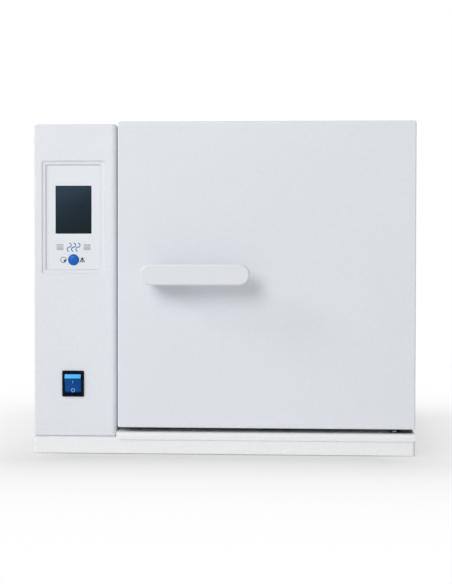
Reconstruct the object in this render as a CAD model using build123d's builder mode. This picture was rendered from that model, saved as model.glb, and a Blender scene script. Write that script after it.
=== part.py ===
from build123d import *
from math import cos, radians, sin, sqrt, tan
import os

os.makedirs("parts", exist_ok=True)

# A bench-top dry heat sterilizer: a control tower at the left, an insulated
# cabinet with a fan-stirred chamber at the right, and a hinged door over the
# cabinet. X runs to the right, Y to the back and Z up, in millimetres. The
# origin is on the bench, under the middle of the whole.

# ---------------------------------------------------------------- Sizes

# Outline
body_width = 460
overall_height = 400
overall_depth = 428
handle_reach = 44  # from the door's face to the front of the lever
rear_reach = 4  # from the rear panel to the back of the vent cap

# Sheet metal and fits
casing_sheet = 1.2
running_gap = 0.3  # between faces that pass or stand off each other
shaft_gap = 0.05  # radial, round a shaft, pin or bush
screw_gap = 0.15  # radial, round a screw or a stem

# Plinth, base plate and feet
ground_clearance = 1.2
plinth_height = 18.8
plinth_wall = 1.5
plinth_corner = 4
plinth_rounding = 0.8
plinth_setback = 1  # from the door's face back to the plinth's front
base_recess = 2.3  # from the plinth's lower edge up to the base plate
base_sheet = 1.2
base_slot_length = 60
base_slot_width = 5
base_slot_pitch = 14
base_slot_count = 5
foot_diameter = 22
foot_chamfer = 0.6
foot_inset = 28
foot_stem_diameter = 6
foot_barb_diameter = 9
foot_barb_height = 2.5

# Tower
tower_width = 100.5
panel_from_left = 47.5  # from the tower's left side to the middle of the fittings in it
tower_setback = 13  # from the door's face back to the tower's face
tower_pan_depth = 18
tower_pan_sheet = 1.5
tower_corner = 4
tower_rounding = 2
tower_edge_radius = 6  # of the tower's front edge beside the door
housing_drop = 2  # from the door's top down to the housing's top
shell_flange = 14
louver_length = 46
louver_height = 3.2
louver_pitch = 9
louver_count = 10
louver_column_pitch = 62
louver_from_rear = 90  # from the rear panel to the middle of the louvers
louver_middle_z = 150

# Sunken bezel and fascia
recess_width = 77
recess_height = 137.6
recess_depth = 3.6
recess_rim = 5.7  # from the bezel's edge in to the fascia
recess_ledge_depth = 1.8  # of the ledge halfway down the rim
recess_wall_run = 1.6  # how far in each of the rim's two sloped walls runs
recess_corner = 2
recess_middle_z = 285.4
recess_border = 1.5  # metal round the bezel, behind the panel
recess_floor = 1.2
fascia_sheet = 1.2
fascia_fit = 0.15
fascia_seat = 3  # width of the ledge behind the fascia
display_width = 44.1
display_height = 58.3
display_corner = 1
display_middle_z = 294.8
display_fit = 0.1
module_width = 50
module_height = 69.2
module_depth = 6.4
board_width = 72
board_height = 134
board_sheet = 1.6
board_hole_diameter = 3.2
standoff_diameter = 6
standoff_spacing_x = 62
standoff_spacing_z = 124

# Push button
button_diameter = 13
button_z = 234
button_rise = 1.2
button_crown = 0.8
button_collar_diameter = 16
button_collar_sheet = 1.2
button_stem_diameter = 4
button_stem_length = 1
button_travel = 1.5
switch_body_size = 6
switch_plunger_diameter = 3.4
switch_plunger_height = 0.7

# Rocker switch
rocker_frame_width = 26.6
rocker_frame_height = 31.5
rocker_frame_corner = 1.5
rocker_frame_rise = 2
rocker_frame_rounding = 0.8
rocker_frame_depth = 20
rocker_frame_wall = 1
rocker_middle_z = 83.8
rocker_width = 19.6
rocker_radius = 13  # of the rocker's ends, about its pivot
rocker_pivot_depth = 5  # from the frame's front back to the pivot
rocker_middle_rise = 4.6  # from the pivot forward to the valley of the rocker
rocker_back = 2  # from the pivot back to the rocker's flat
rocker_tilt = 13  # degrees, to either side
blade_width = 6.3
blade_sheet = 0.8
blade_length = 8
blade_pitch = 7
blade_spread = 11

# Door and sill
door_thickness = 40
door_gap = 8  # from the door's back to the front frame
door_side_gap = 3  # from the tower to the door
door_floor_gap = 7.5  # from the sill to the door
door_sheet = 1.2
door_corner = 2.5
door_rounding = 1.6
sill_side_gap = 1.5  # from the tower to the sill
sill_height = 5
sill_sheet = 1.5
sill_lip_height = 7
sill_lip_corner = 5
sill_lip_gap = 0.2
sill_rounding = 3.5
plug_clearance = 6  # from the chamber's walls in to the door's plug
plug_depth = 14
plug_corner = 10
plug_rounding = 4
gasket_inset = 6  # from the chamber's mouth out to the gasket
gasket_width = 10
gasket_rounding = 3
door_insulation_depth = 30
door_screw_inset = 12
door_screw_head_diameter = 6.4
door_screw_head_height = 1.6
door_screw_diameter = 3.6
door_screw_length = 7

# Hinge
hinge_inset_x = 11.5  # from the door's right side to the pin
hinge_inset_y = 24  # from the door's face back to the pin
hinge_pin_diameter = 8
hinge_pin_reach = 14  # into the door
hinge_plate = 3
hinge_plate_inner = 16.6  # from the pin to the lower plate's left side
hinge_plate_outer = 8  # from the pin to the lower plate's right side
hinge_plate_front = 10  # from the pin to the lower plate's front
hinge_plate_corner = 7
hinge_arm_radius = 9.4  # of the upper plate's end, about the pin
hinge_arm_drop = 9  # from the door's top down to the upper plate
hinge_tab_height = 20
notch_clearance = 1.5
notch_reach = 19  # from the pin forward to the notch's front
hinge_block_width = 26
hinge_block_depth = 36
hinge_block_height = 14.3
bush_diameter = 14
bush_collar_diameter = 18
hinge_screw_diameter = 4
hinge_screw_head_diameter = 7.6
hinge_screw_head_height = 1.4
hinge_screw_inset = 4.4

# Handle and latch
spindle_from_door_edge = 44.1
spindle_z = 217
spindle_diameter = 10
spindle_in_lever = 20
lever_span = 104  # between the centres of the lever's round ends
lever_height = 25.2
lever_thickness = 13
lever_rounding = 2.4
lever_hub_diameter = 22
spindle_bush_diameter = 16
spindle_bush_collar_diameter = 24
spindle_bush_collar = 1.2
latch_arm_gap = 3.8  # from the frame's back to the latch arm
latch_arm_sheet = 5
latch_arm_width = 12
latch_arm_span = 26
latch_hub_diameter = 20
latch_nut_flats = 16
latch_nut_height = 6
latch_nut_sides = 6
latch_slot_margin = 4
latch_slot_corner = 4
keeper_sheet = 1.5

# Chamber
chamber_corner = 6
left_wall_depth = 79.5  # from the tower to the chamber
right_wall_depth = 45  # from the cabinet's right side to the chamber
floor_depth = 45  # from the plinth to the chamber
top_wall_depth = 48  # from the chamber to the housing's top
rear_wall_depth = 53  # from the chamber to the back of the rear panel
liner_sheet = 1
liner_flange = 12

# Air baffle, plenum, fan and heater
plenum_width = 202
plenum_margin = 17.5  # from the chamber's floor and top to the plenum
plenum_border = 6
plenum_depth = 35
baffle_sheet = 1
baffle_margin = 12  # how far the baffle laps the liner's opening, front and back
baffle_hole_diameter = 7
baffle_hole_pitch = 12
baffle_ring_count = 4
baffle_ring_step = 6  # holes added by each ring
baffle_slot_length = 30
baffle_slot_width = 5
baffle_slot_count = 9
baffle_slot_inset = 22
baffle_slot_margin = 25  # from the plenum's floor and top to the first slots
shaft_diameter = 8
shaft_hole_diameter = 14
shaft_in_motor = 40
impeller_diameter = 112
impeller_gap = 6  # from the plenum's back to the impeller
impeller_sheet = 1.2
impeller_blade_depth = 18
impeller_blade_length = 30
impeller_blade_count = 10
impeller_blade_slant = 25
impeller_hub_diameter = 24
heater_ring_diameter = 152
heater_tube_diameter = 8
heater_from_baffle = 17
heater_leg_diameter = 7
heater_leg_pitch = 18
heater_leg_reach = 14  # past the partition, into the tower
heater_stud_diameter = 4
heater_stud_length = 9
probe_diameter = 5
probe_rounding = 1.6
probe_y = -38
probe_from_chamber_top = 32
probe_in_chamber = 22
probe_in_tower = 14
motor_diameter = 76
motor_length = 48
motor_boss_diameter = 24
motor_boss_length = 4
motor_rounding = 4
motor_standoff = 16  # from the partition to the motor's bracket plate
bracket_sheet = 2
bracket_size = 88
bracket_corner = 8
bracket_leg_pitch = 74
bracket_leg_diameter = 8

# Shelves and their rails
shelf_floors = (110, 190, 270)
shelf_sheet = 1.2
shelf_edge_height = 8
shelf_rear_clearance = 15  # from the shelves to the chamber's back
shelf_side_clearance = 1.3
shelf_travel = 20
shelf_door_clearance = 2
shelf_corner = 5
shelf_slot_width = 6
shelf_slot_columns = 6
shelf_slot_rows = 15
shelf_slot_bridge = 9  # metal between the slots of a row
shelf_slot_inset_x = 14  # from the shelf's sides to the slots
shelf_slot_inset_y = 20  # from the shelf's front and rear to the middle of the first slots
rail_sheet = 1.2
rail_ledge_width = 10
rail_post_width = 12
rail_post_inset = 34
rail_front_reach = 14
rail_stop_height = 6

# Rear of the housing
rear_sheet = 1.2
rear_screw_inset = 8
rear_screw_head_diameter = 7
rear_screw_head_height = 1.8
rear_screw_diameter = 3.8
rear_screw_length = 8
rear_screw_rows = 4
insulation_rear_gap = 12
vent_from_chamber_right = 45
vent_from_chamber_top = 25
vent_diameter = 22
vent_wall = 2
vent_cap_diameter = 34
vent_cap_rounding = 1.3
vent_cap_spigot = 6
vent_hole_diameter = 3
vent_hole_ring_diameter = 11
vent_hole_count = 8
rear_louver_count = 7
rear_louver_middle_z = 300

# Mains inlet and fuses
inlet_z = 62
inlet_flange_width = 50
inlet_flange_height = 24
inlet_flange_sheet = 3.5
inlet_flange_corner = 4
inlet_body_width = 27.4
inlet_body_height = 20
inlet_body_depth = 25
inlet_cavity_width = 24.4
inlet_cavity_height = 16.6
inlet_cavity_depth = 17
inlet_cavity_corner = 3
inlet_pin_width = 4
inlet_pin_sheet = 2
inlet_pin_pitch = 7
inlet_pin_drop = 2
inlet_pin_length = 14
inlet_tab_length = 10
fuse_pitch = 28
fuse_z = 96
fuse_cap_diameter = 15
fuse_cap_height = 3
fuse_cap_chamfer = 1
fuse_body_diameter = 12
fuse_body_depth = 22

# Electrical parts on the partition
supply_size = (32, 99, 82)
supply_middle = (72, 92)
supply_chamfer = 2
sink_size = (16, 60, 90)
sink_middle = (-62, 175)
sink_fin_count = 7
sink_fin_sheet = 2
sink_base = 5
relay_size = (24, 45, 58)
relay_rounding = 2
terminal_size = (22, 84, 24)
terminal_middle = (140, 240)
terminal_well_diameter = 8
terminal_well_depth = 9
terminal_count = 6
cutout_size = (20, 34, 34)
cutout_middle = (100, 320)
cutout_stem_diameter = 8
cutout_stem_length = 10

# ------------------------------------------------------- Derived places

left_x = -body_width / 2
right_x = body_width / 2
front_y = -overall_depth / 2
rear_y = overall_depth / 2 - rear_reach

door_face_y = front_y + handle_reach
door_back_y = door_face_y + door_thickness
frame_face_y = door_back_y + door_gap
frame_back_y = frame_face_y + casing_sheet
tower_face_y = door_face_y + tower_setback
tower_pan_back_y = tower_face_y + tower_pan_depth
shell_front_y = tower_pan_back_y + running_gap
shell_rear_y = rear_y - rear_sheet

plinth_top_z = ground_clearance + plinth_height
base_plate_z = ground_clearance + base_recess
base_floor_z = base_plate_z + base_sheet
plinth_front_y = door_face_y + plinth_setback
plinth_depth = rear_y - plinth_front_y
plinth_middle_y = (rear_y + plinth_front_y) / 2
foot_spacing_x = body_width - 2 * foot_inset
foot_spacing_y = plinth_depth - 2 * foot_inset

housing_top_z = overall_height - housing_drop
housing_height = housing_top_z - plinth_top_z
housing_middle_z = (housing_top_z + plinth_top_z) / 2
tower_right_x = left_x + tower_width
tower_middle_x = (left_x + tower_right_x) / 2
panel_middle_x = left_x + panel_from_left
partition_x = tower_right_x - casing_sheet
cabinet_width = right_x - tower_right_x
cabinet_middle_x = (right_x + tower_right_x) / 2

sill_top_z = plinth_top_z + sill_height
sill_left_x = tower_right_x + sill_side_gap
sill_width = right_x - sill_left_x
sill_middle_x = (right_x + sill_left_x) / 2
sill_front_y = plinth_front_y - sill_lip_gap - sill_sheet

door_left_x = tower_right_x + door_side_gap
door_width = right_x - door_left_x
door_middle_x = (right_x + door_left_x) / 2
door_bottom_z = sill_top_z + door_floor_gap
door_height = overall_height - door_bottom_z
door_middle_z = (overall_height + door_bottom_z) / 2
door_inner_y = door_face_y + door_sheet
door_liner_y = door_back_y - door_sheet

chamber_right_x = right_x - right_wall_depth
chamber_left_x = tower_right_x + left_wall_depth
chamber_width = chamber_right_x - chamber_left_x
chamber_middle_x = (chamber_left_x + chamber_right_x) / 2
chamber_floor_z = plinth_top_z + floor_depth
chamber_top_z = housing_top_z - top_wall_depth
chamber_height = chamber_top_z - chamber_floor_z
chamber_middle_z = (chamber_floor_z + chamber_top_z) / 2
chamber_rear_y = rear_y - rear_wall_depth
chamber_depth = chamber_rear_y - frame_back_y
chamber_middle_y = (frame_back_y + chamber_rear_y) / 2

recess_ledge_y = tower_face_y + recess_ledge_depth
recess_floor_y = tower_face_y + recess_depth
fascia_width = recess_width - 2 * recess_rim
fascia_height = recess_height - 2 * recess_rim
fascia_back_y = recess_floor_y + fascia_sheet
seat_back_y = fascia_back_y + recess_floor
board_front_y = fascia_back_y + module_depth
button_face_y = recess_floor_y - button_rise
button_collar_y = fascia_back_y + running_gap
button_stem_y = button_collar_y + button_collar_sheet
button_end_y = button_stem_y + button_stem_length
plunger_y = button_end_y + button_travel + running_gap

rocker_frame_front_y = tower_face_y - rocker_frame_rise
rocker_frame_back_y = rocker_frame_front_y + rocker_frame_depth
rocker_pivot_y = rocker_frame_front_y + rocker_pivot_depth
rocker_slot_width = rocker_width + 2 * running_gap
rocker_slot_height = 2 * (rocker_radius + running_gap)
rocker_body_width = rocker_slot_width + 2 * rocker_frame_wall
rocker_body_height = rocker_slot_height + 2 * rocker_frame_wall

hinge_x = right_x - hinge_inset_x
hinge_y = door_face_y + hinge_inset_y
hinge_plate_top_z = sill_top_z + hinge_plate
hinge_arm_top_z = overall_height - hinge_arm_drop
hinge_arm_z = hinge_arm_top_z - hinge_plate
notch_bottom_z = hinge_arm_z - notch_clearance
notch_top_z = hinge_arm_top_z + notch_clearance
notch_front_y = hinge_y - notch_reach
notch_left_x = hinge_x - hinge_arm_radius - notch_clearance
lower_block_z = door_bottom_z + door_sheet
upper_block_top_z = notch_bottom_z
upper_block_z = upper_block_top_z - hinge_block_height
hinge_block_left_x = right_x - door_sheet - hinge_block_width

spindle_x = door_left_x + spindle_from_door_edge
lever_back_y = front_y + lever_thickness
spindle_bush_front_y = door_face_y - spindle_bush_collar
lever_hub_end_y = spindle_bush_front_y - running_gap
spindle_front_y = lever_hub_end_y - spindle_in_lever
latch_arm_y = frame_back_y + latch_arm_gap
latch_arm_back_y = latch_arm_y + latch_arm_sheet
spindle_end_y = latch_arm_back_y + latch_nut_height + running_gap
latch_reach = latch_arm_span + latch_arm_width / 2
latch_slot_half = latch_hub_diameter / 2 + latch_slot_margin
keeper_back_y = spindle_end_y + 2 * keeper_sheet
keeper_left_x = spindle_x - latch_reach - latch_slot_margin
keeper_right_x = spindle_x + latch_slot_half
keeper_bottom_z = spindle_z - latch_reach - latch_slot_margin
keeper_top_z = spindle_z + latch_slot_half

fan_y = chamber_middle_y
fan_z = chamber_middle_z
probe_z = chamber_top_z - probe_from_chamber_top
plenum_height = chamber_height - 2 * plenum_margin
fan_axis = (fan_y, fan_z)
plenum_front_x = chamber_left_x - liner_sheet
plenum_back_x = plenum_front_x - plenum_depth
plenum_outer_x = plenum_back_x - liner_sheet
impeller_back_x = plenum_back_x + impeller_gap
impeller_front_x = impeller_back_x + impeller_sheet + impeller_blade_depth
heater_x = chamber_left_x - heater_from_baffle
heater_leg_z = fan_z + sqrt((heater_ring_diameter / 2) ** 2 - (heater_leg_pitch / 2) ** 2)
heater_leg_ys = (fan_y - heater_leg_pitch / 2, fan_y + heater_leg_pitch / 2)
heater_end_x = partition_x - heater_leg_reach
motor_face_x = partition_x - motor_standoff - bracket_sheet
motor_back_x = motor_face_x - motor_length
motor_boss_x = motor_face_x + motor_boss_length
shaft_back_x = motor_face_x - shaft_in_motor
baffle_face_x = chamber_left_x + baffle_sheet
baffle_width = plenum_width + 2 * baffle_margin
baffle_height = chamber_height - 2 * (chamber_corner + rail_sheet)
baffle_slot_pitch = (plenum_height - 2 * baffle_slot_margin) / (baffle_slot_count - 1)

shelf_front_y = door_back_y + plug_depth + shelf_door_clearance + shelf_travel
shelf_rear_y = chamber_rear_y - shelf_rear_clearance
shelf_depth = shelf_rear_y - shelf_front_y
shelf_middle_y = (shelf_front_y + shelf_rear_y) / 2
rail_front_y = shelf_front_y - rail_front_reach
rail_rear_y = shelf_rear_y + running_gap + rail_sheet
shelf_left_x = baffle_face_x + rail_sheet + shelf_side_clearance
shelf_right_x = chamber_right_x - rail_sheet - shelf_side_clearance
shelf_width = shelf_right_x - shelf_left_x
shelf_middle_x = (shelf_left_x + shelf_right_x) / 2
shelf_slot_span = shelf_width - 2 * shelf_slot_inset_x + shelf_slot_bridge
shelf_slot_pitch_x = shelf_slot_span / shelf_slot_columns
shelf_slot_length = shelf_slot_pitch_x - shelf_slot_bridge
shelf_slot_pitch_y = (shelf_depth - 2 * shelf_slot_inset_y) / (shelf_slot_rows - 1)

vent_x = chamber_right_x - vent_from_chamber_right
vent_z = chamber_top_z - vent_from_chamber_top
insulation_front_y = frame_back_y + liner_sheet + running_gap
insulation_rear_y = rear_y - insulation_rear_gap
rear_screw_zs = [
    plinth_top_z + rear_screw_inset + i * (housing_height - 2 * rear_screw_inset) / (rear_screw_rows - 1)
    for i in range(rear_screw_rows)
]
rear_screw_xs = (left_x + rear_screw_inset, right_x - rear_screw_inset)
rear_screw_places = [(x, z) for x in rear_screw_xs for z in rear_screw_zs]
door_screw_places = [
    (x, z)
    for x in (door_left_x + door_screw_inset, (spindle_x + chamber_right_x) / 2)
    for z in (door_bottom_z + door_screw_inset, overall_height - door_screw_inset)
] + [(right_x - door_screw_inset, chamber_floor_z), (right_x - door_screw_inset, chamber_top_z)]


# ------------------------------------------------------------- Helpers

quarter_turn = 90
axis_turns = {"x": (0, quarter_turn, 0), "y": (quarter_turn, 0, 0), "z": (0, 0, 0)}


def front_plane(y):
    """The upright plane at depth y, facing the front, whose own axes run along X and Z."""
    return Plane.XZ.offset(-y)


def side_plane(x):
    """The upright plane at place x, facing the right, whose own axes run along Y and Z."""
    return Plane.YZ.offset(x)


def inner_radius(outer, wall):
    """The radius inside a wall that follows an outer corner."""
    return max(outer - wall, running_gap)


def block(x, y, z, mode=Mode.ADD):
    """A block over three ranges, each given by its low and high ends."""
    with Locations((sum(x) / 2, sum(y) / 2, sum(z) / 2)):
        Box(x[1] - x[0], y[1] - y[0], z[1] - z[0], mode=mode)


def rod(axis, span, at, radius, mode=Mode.ADD):
    """A round rod over a span of one axis, centred at a place on the other two."""
    middle = sum(span) / 2
    centre = {"x": (middle, *at), "y": (at[0], middle, at[1]), "z": (*at, middle)}[axis]
    with Locations(centre):
        Cylinder(radius, span[1] - span[0], rotation=axis_turns[axis], mode=mode)


def service_holes(span, gap):
    """Holes along X, over a span, for the fan's shaft, the heater's legs and the probe."""
    rod("x", span, fan_axis, shaft_hole_diameter / 2, Mode.SUBTRACT)
    for leg_y in heater_leg_ys:
        rod("x", span, (leg_y, heater_leg_z), heater_leg_diameter / 2 + gap, Mode.SUBTRACT)
    rod("x", span, (probe_y, probe_z), probe_diameter / 2 + gap, Mode.SUBTRACT)


def screw_holes(span, places, diameter):
    """Clearance holes along Y, over a span, for screws of a diameter at each place (x, z)."""
    for place in places:
        rod("y", span, place, diameter / 2 + screw_gap, Mode.SUBTRACT)


# ------------------------------------------------- Plinth, base and feet

with BuildPart() as base_plinth:
    with BuildSketch(Plane.XY.offset(ground_clearance)):
        with Locations((0, plinth_middle_y)):
            RectangleRounded(body_width, plinth_depth, plinth_corner)
    extrude(amount=plinth_height)
    fillet(base_plinth.faces().sort_by(Axis.Z)[-1].edges(), plinth_rounding)
    with BuildSketch(Plane.XY.offset(ground_clearance)):
        with Locations((0, plinth_middle_y)):
            RectangleRounded(
                body_width - 2 * plinth_wall,
                plinth_depth - 2 * plinth_wall,
                inner_radius(plinth_corner, plinth_wall),
            )
    extrude(amount=plinth_height - plinth_wall, mode=Mode.SUBTRACT)
base_plinth.part.label = "base_plinth"
export_step(base_plinth.part, "parts/base_plinth.step")

base_plate_width = body_width - 2 * (plinth_wall + running_gap)
base_plate_depth = plinth_depth - 2 * (plinth_wall + running_gap)
with BuildPart() as base_plate:
    with BuildSketch(Plane.XY.offset(base_plate_z)):
        with Locations((0, plinth_middle_y)):
            base_corner = inner_radius(plinth_corner, plinth_wall)
            RectangleRounded(base_plate_width, base_plate_depth, base_corner)
    extrude(amount=plinth_top_z - plinth_wall - base_plate_z)
    with BuildSketch(Plane.XY.offset(base_floor_z)):
        with Locations((0, plinth_middle_y)):
            RectangleRounded(
                base_plate_width - 2 * base_sheet,
                base_plate_depth - 2 * base_sheet,
                inner_radius(plinth_corner, plinth_wall + base_sheet),
            )
    extrude(amount=plinth_height, mode=Mode.SUBTRACT)
    with BuildSketch(Plane.XY.offset(base_plate_z)):
        with Locations((0, plinth_middle_y)):
            with GridLocations(foot_spacing_x, foot_spacing_y, 2, 2):
                Circle(foot_stem_diameter / 2 + screw_gap)
        with Locations((tower_middle_x, plinth_middle_y)):
            with GridLocations(0, base_slot_pitch, 1, base_slot_count):
                SlotOverall(base_slot_length, base_slot_width)
    extrude(amount=base_sheet, mode=Mode.SUBTRACT)
base_plate.part.label = "base_plate"
export_step(base_plate.part, "parts/base_plate.step")

with BuildPart() as feet:
    with BuildSketch(Plane.XY):
        with Locations((0, plinth_middle_y)):
            with GridLocations(foot_spacing_x, foot_spacing_y, 2, 2):
                Circle(foot_diameter / 2)
    extrude(amount=base_plate_z)
    chamfer(feet.faces().group_by(Axis.Z)[0].edges(), foot_chamfer)
    with BuildSketch(Plane.XY.offset(base_plate_z)):
        with Locations((0, plinth_middle_y)):
            with GridLocations(foot_spacing_x, foot_spacing_y, 2, 2):
                Circle(foot_stem_diameter / 2)
    extrude(amount=base_sheet)
    with BuildSketch(Plane.XY.offset(base_floor_z)):
        with Locations((0, plinth_middle_y)):
            with GridLocations(foot_spacing_x, foot_spacing_y, 2, 2):
                Circle(foot_barb_diameter / 2)
    extrude(amount=foot_barb_height)
feet.part.label = "feet"
export_step(feet.part, "parts/feet.step")

# ------------------------------------------------------ Housing casings

shell_depth = shell_rear_y - shell_front_y
with BuildPart() as tower_shell:
    with BuildSketch(front_plane(shell_front_y)) as tower_profile:
        with Locations((tower_middle_x, housing_middle_z)):
            Rectangle(tower_width, housing_height)
        fillet(tower_profile.vertices().group_by(Axis.Y)[-1], tower_corner)
        with Locations((tower_middle_x, housing_middle_z - casing_sheet / 2)):
            Rectangle(tower_width - 2 * casing_sheet, housing_height - casing_sheet, mode=Mode.SUBTRACT)
    extrude(amount=-shell_depth)
    with BuildSketch(front_plane(shell_rear_y)):
        with Locations((tower_middle_x, housing_middle_z - casing_sheet / 2)):
            Rectangle(tower_width - 2 * casing_sheet, housing_height - casing_sheet)
            Rectangle(
                tower_width - 2 * (casing_sheet + shell_flange),
                housing_height - casing_sheet - 2 * shell_flange,
                mode=Mode.SUBTRACT,
            )
    extrude(amount=casing_sheet)
    with BuildSketch(side_plane(left_x)):
        with Locations((rear_y - louver_from_rear, louver_middle_z)):
            with GridLocations(louver_column_pitch, louver_pitch, 2, louver_count):
                SlotOverall(louver_length, louver_height)
    extrude(amount=casing_sheet, mode=Mode.SUBTRACT)
    service_holes((partition_x, tower_right_x), screw_gap)
    screw_holes((shell_rear_y - casing_sheet, shell_rear_y), rear_screw_places, rear_screw_diameter)
tower_shell.part.label = "tower_shell"
export_step(tower_shell.part, "parts/tower_shell.step")

flange_edge = casing_sheet + shell_flange
with BuildPart() as cabinet_shell:
    with BuildSketch(front_plane(frame_back_y)) as cabinet_profile:
        with Locations((cabinet_middle_x, housing_middle_z)):
            Rectangle(cabinet_width, housing_height)
        fillet(cabinet_profile.vertices().group_by(Axis.Y)[-1].sort_by(Axis.X)[-1], tower_corner)
        with Locations((cabinet_middle_x - casing_sheet / 2, housing_middle_z - casing_sheet / 2)):
            Rectangle(cabinet_width - casing_sheet, housing_height - casing_sheet, mode=Mode.SUBTRACT)
    extrude(amount=-(shell_rear_y - frame_back_y))
    with BuildSketch(front_plane(shell_rear_y)):
        with Locations((cabinet_middle_x - casing_sheet / 2, housing_middle_z - casing_sheet / 2)):
            Rectangle(cabinet_width - casing_sheet, housing_height - casing_sheet)
        with Locations((cabinet_middle_x - flange_edge / 2, housing_middle_z - flange_edge / 2)):
            Rectangle(cabinet_width - flange_edge, housing_height - flange_edge, mode=Mode.SUBTRACT)
    extrude(amount=casing_sheet)
    screw_holes((shell_rear_y - casing_sheet, shell_rear_y), rear_screw_places, rear_screw_diameter)
cabinet_shell.part.label = "cabinet_shell"
export_step(cabinet_shell.part, "parts/cabinet_shell.step")

with BuildPart() as front_frame:
    with BuildSketch(front_plane(frame_face_y)) as frame_profile:
        with Locations((cabinet_middle_x, housing_middle_z)):
            Rectangle(cabinet_width, housing_height)
        fillet(frame_profile.vertices().group_by(Axis.Y)[-1].sort_by(Axis.X)[-1], tower_corner)
        with Locations((chamber_middle_x, chamber_middle_z)):
            RectangleRounded(chamber_width, chamber_height, chamber_corner, mode=Mode.SUBTRACT)
        with Locations((spindle_x, (keeper_bottom_z + keeper_top_z) / 2)):
            RectangleRounded(
                2 * latch_slot_half, keeper_top_z - keeper_bottom_z, latch_slot_corner, mode=Mode.SUBTRACT
            )
        with Locations((hinge_x, (hinge_arm_z + hinge_arm_top_z) / 2)):
            Rectangle(2 * (hinge_arm_radius + screw_gap), hinge_plate + 2 * screw_gap, mode=Mode.SUBTRACT)
    extrude(amount=-casing_sheet)
front_frame.part.label = "front_frame"
export_step(front_frame.part, "parts/front_frame.step")

with BuildPart() as door_sill:
    with BuildSketch(front_plane(sill_front_y)) as lip_profile:
        with Locations((sill_middle_x, sill_top_z - sill_lip_height / 2)):
            Rectangle(sill_width, sill_lip_height)
        fillet(lip_profile.vertices().group_by(Axis.Y)[0], sill_lip_corner)
    extrude(amount=-sill_sheet)
    block((sill_left_x, right_x), (sill_front_y, frame_face_y), (plinth_top_z, sill_top_z))
    hollow_x = (sill_left_x + sill_sheet, right_x - sill_sheet)
    hollow_y = (sill_front_y + sill_sheet, frame_face_y - sill_sheet)
    block(hollow_x, hollow_y, (plinth_top_z, sill_top_z - sill_sheet), Mode.SUBTRACT)
    fillet(door_sill.edges().filter_by(Axis.X).group_by(Axis.Z)[-1].sort_by(Axis.Y)[0], sill_rounding)
door_sill.part.label = "door_sill"
export_step(door_sill.part, "parts/door_sill.step")

rear_panel_middle_z = housing_middle_z
with BuildPart() as rear_panel:
    with BuildSketch(front_plane(shell_rear_y)) as panel_profile:
        with Locations((0, rear_panel_middle_z)):
            Rectangle(body_width, housing_height)
        fillet(panel_profile.vertices().group_by(Axis.Y)[-1], tower_corner)
        with Locations((panel_middle_x, rear_louver_middle_z)):
            with GridLocations(0, louver_pitch, 1, rear_louver_count):
                SlotOverall(louver_length, louver_height, mode=Mode.SUBTRACT)
        with Locations((panel_middle_x, inlet_z)):
            Rectangle(inlet_body_width + 2 * screw_gap, inlet_body_height + 2 * screw_gap, mode=Mode.SUBTRACT)
        with Locations((panel_middle_x, fuse_z)):
            with GridLocations(fuse_pitch, 0, 2, 1):
                Circle(fuse_body_diameter / 2 + screw_gap, mode=Mode.SUBTRACT)
        with Locations((vent_x, vent_z)):
            Circle(vent_diameter / 2 + screw_gap, mode=Mode.SUBTRACT)
        with Locations(*rear_screw_places):
            Circle(rear_screw_diameter / 2 + screw_gap, mode=Mode.SUBTRACT)
    extrude(amount=-rear_sheet)
rear_panel.part.label = "rear_panel"
export_step(rear_panel.part, "parts/rear_panel.step")

with BuildPart() as rear_screws:
    for place in rear_screw_places:
        rod("y", (rear_y, rear_y + rear_screw_head_height), place, rear_screw_head_diameter / 2)
    fillet(rear_screws.faces().group_by(Axis.Y)[-1].edges(), rear_screw_head_height / 2)
    for place in rear_screw_places:
        rod("y", (rear_y - rear_screw_length, rear_y), place, rear_screw_diameter / 2)
rear_screws.part.label = "rear_screws"
export_step(rear_screws.part, "parts/rear_screws.step")

# ---------------------------------------------- Tower front and controls

def inset_size(size, inset):
    """A width and height with an inset taken off on every side."""
    return [length - 2 * inset for length in size]


recess_size = (recess_width, recess_height)
fascia_size = (fascia_width, fascia_height)


def beyond_rounding(x, y, z, radius):
    """The space outside the rounding of an upright edge that looks to the front and the right."""
    with BuildPart() as waste:
        block((x - radius, x + radius), (y - radius, y + radius), z)
        rod("z", z, (x - radius, y + radius), radius, Mode.SUBTRACT)
    return waste.part


tower_z = (plinth_top_z, housing_top_z)
with BuildPart() as pan_cavity:
    with BuildSketch(front_plane(tower_face_y + tower_pan_sheet)):
        with Locations((tower_middle_x, housing_middle_z)):
            RectangleRounded(
                tower_width - 2 * tower_pan_sheet,
                housing_height - 2 * tower_pan_sheet,
                inner_radius(tower_corner, tower_pan_sheet),
            )
    extrude(amount=-tower_pan_depth)
    cavity_radius = inner_radius(tower_edge_radius, tower_pan_sheet)
    cavity_edge = (tower_right_x - tower_pan_sheet, tower_face_y + tower_pan_sheet)
    add(beyond_rounding(*cavity_edge, tower_z, cavity_radius), mode=Mode.SUBTRACT)

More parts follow.
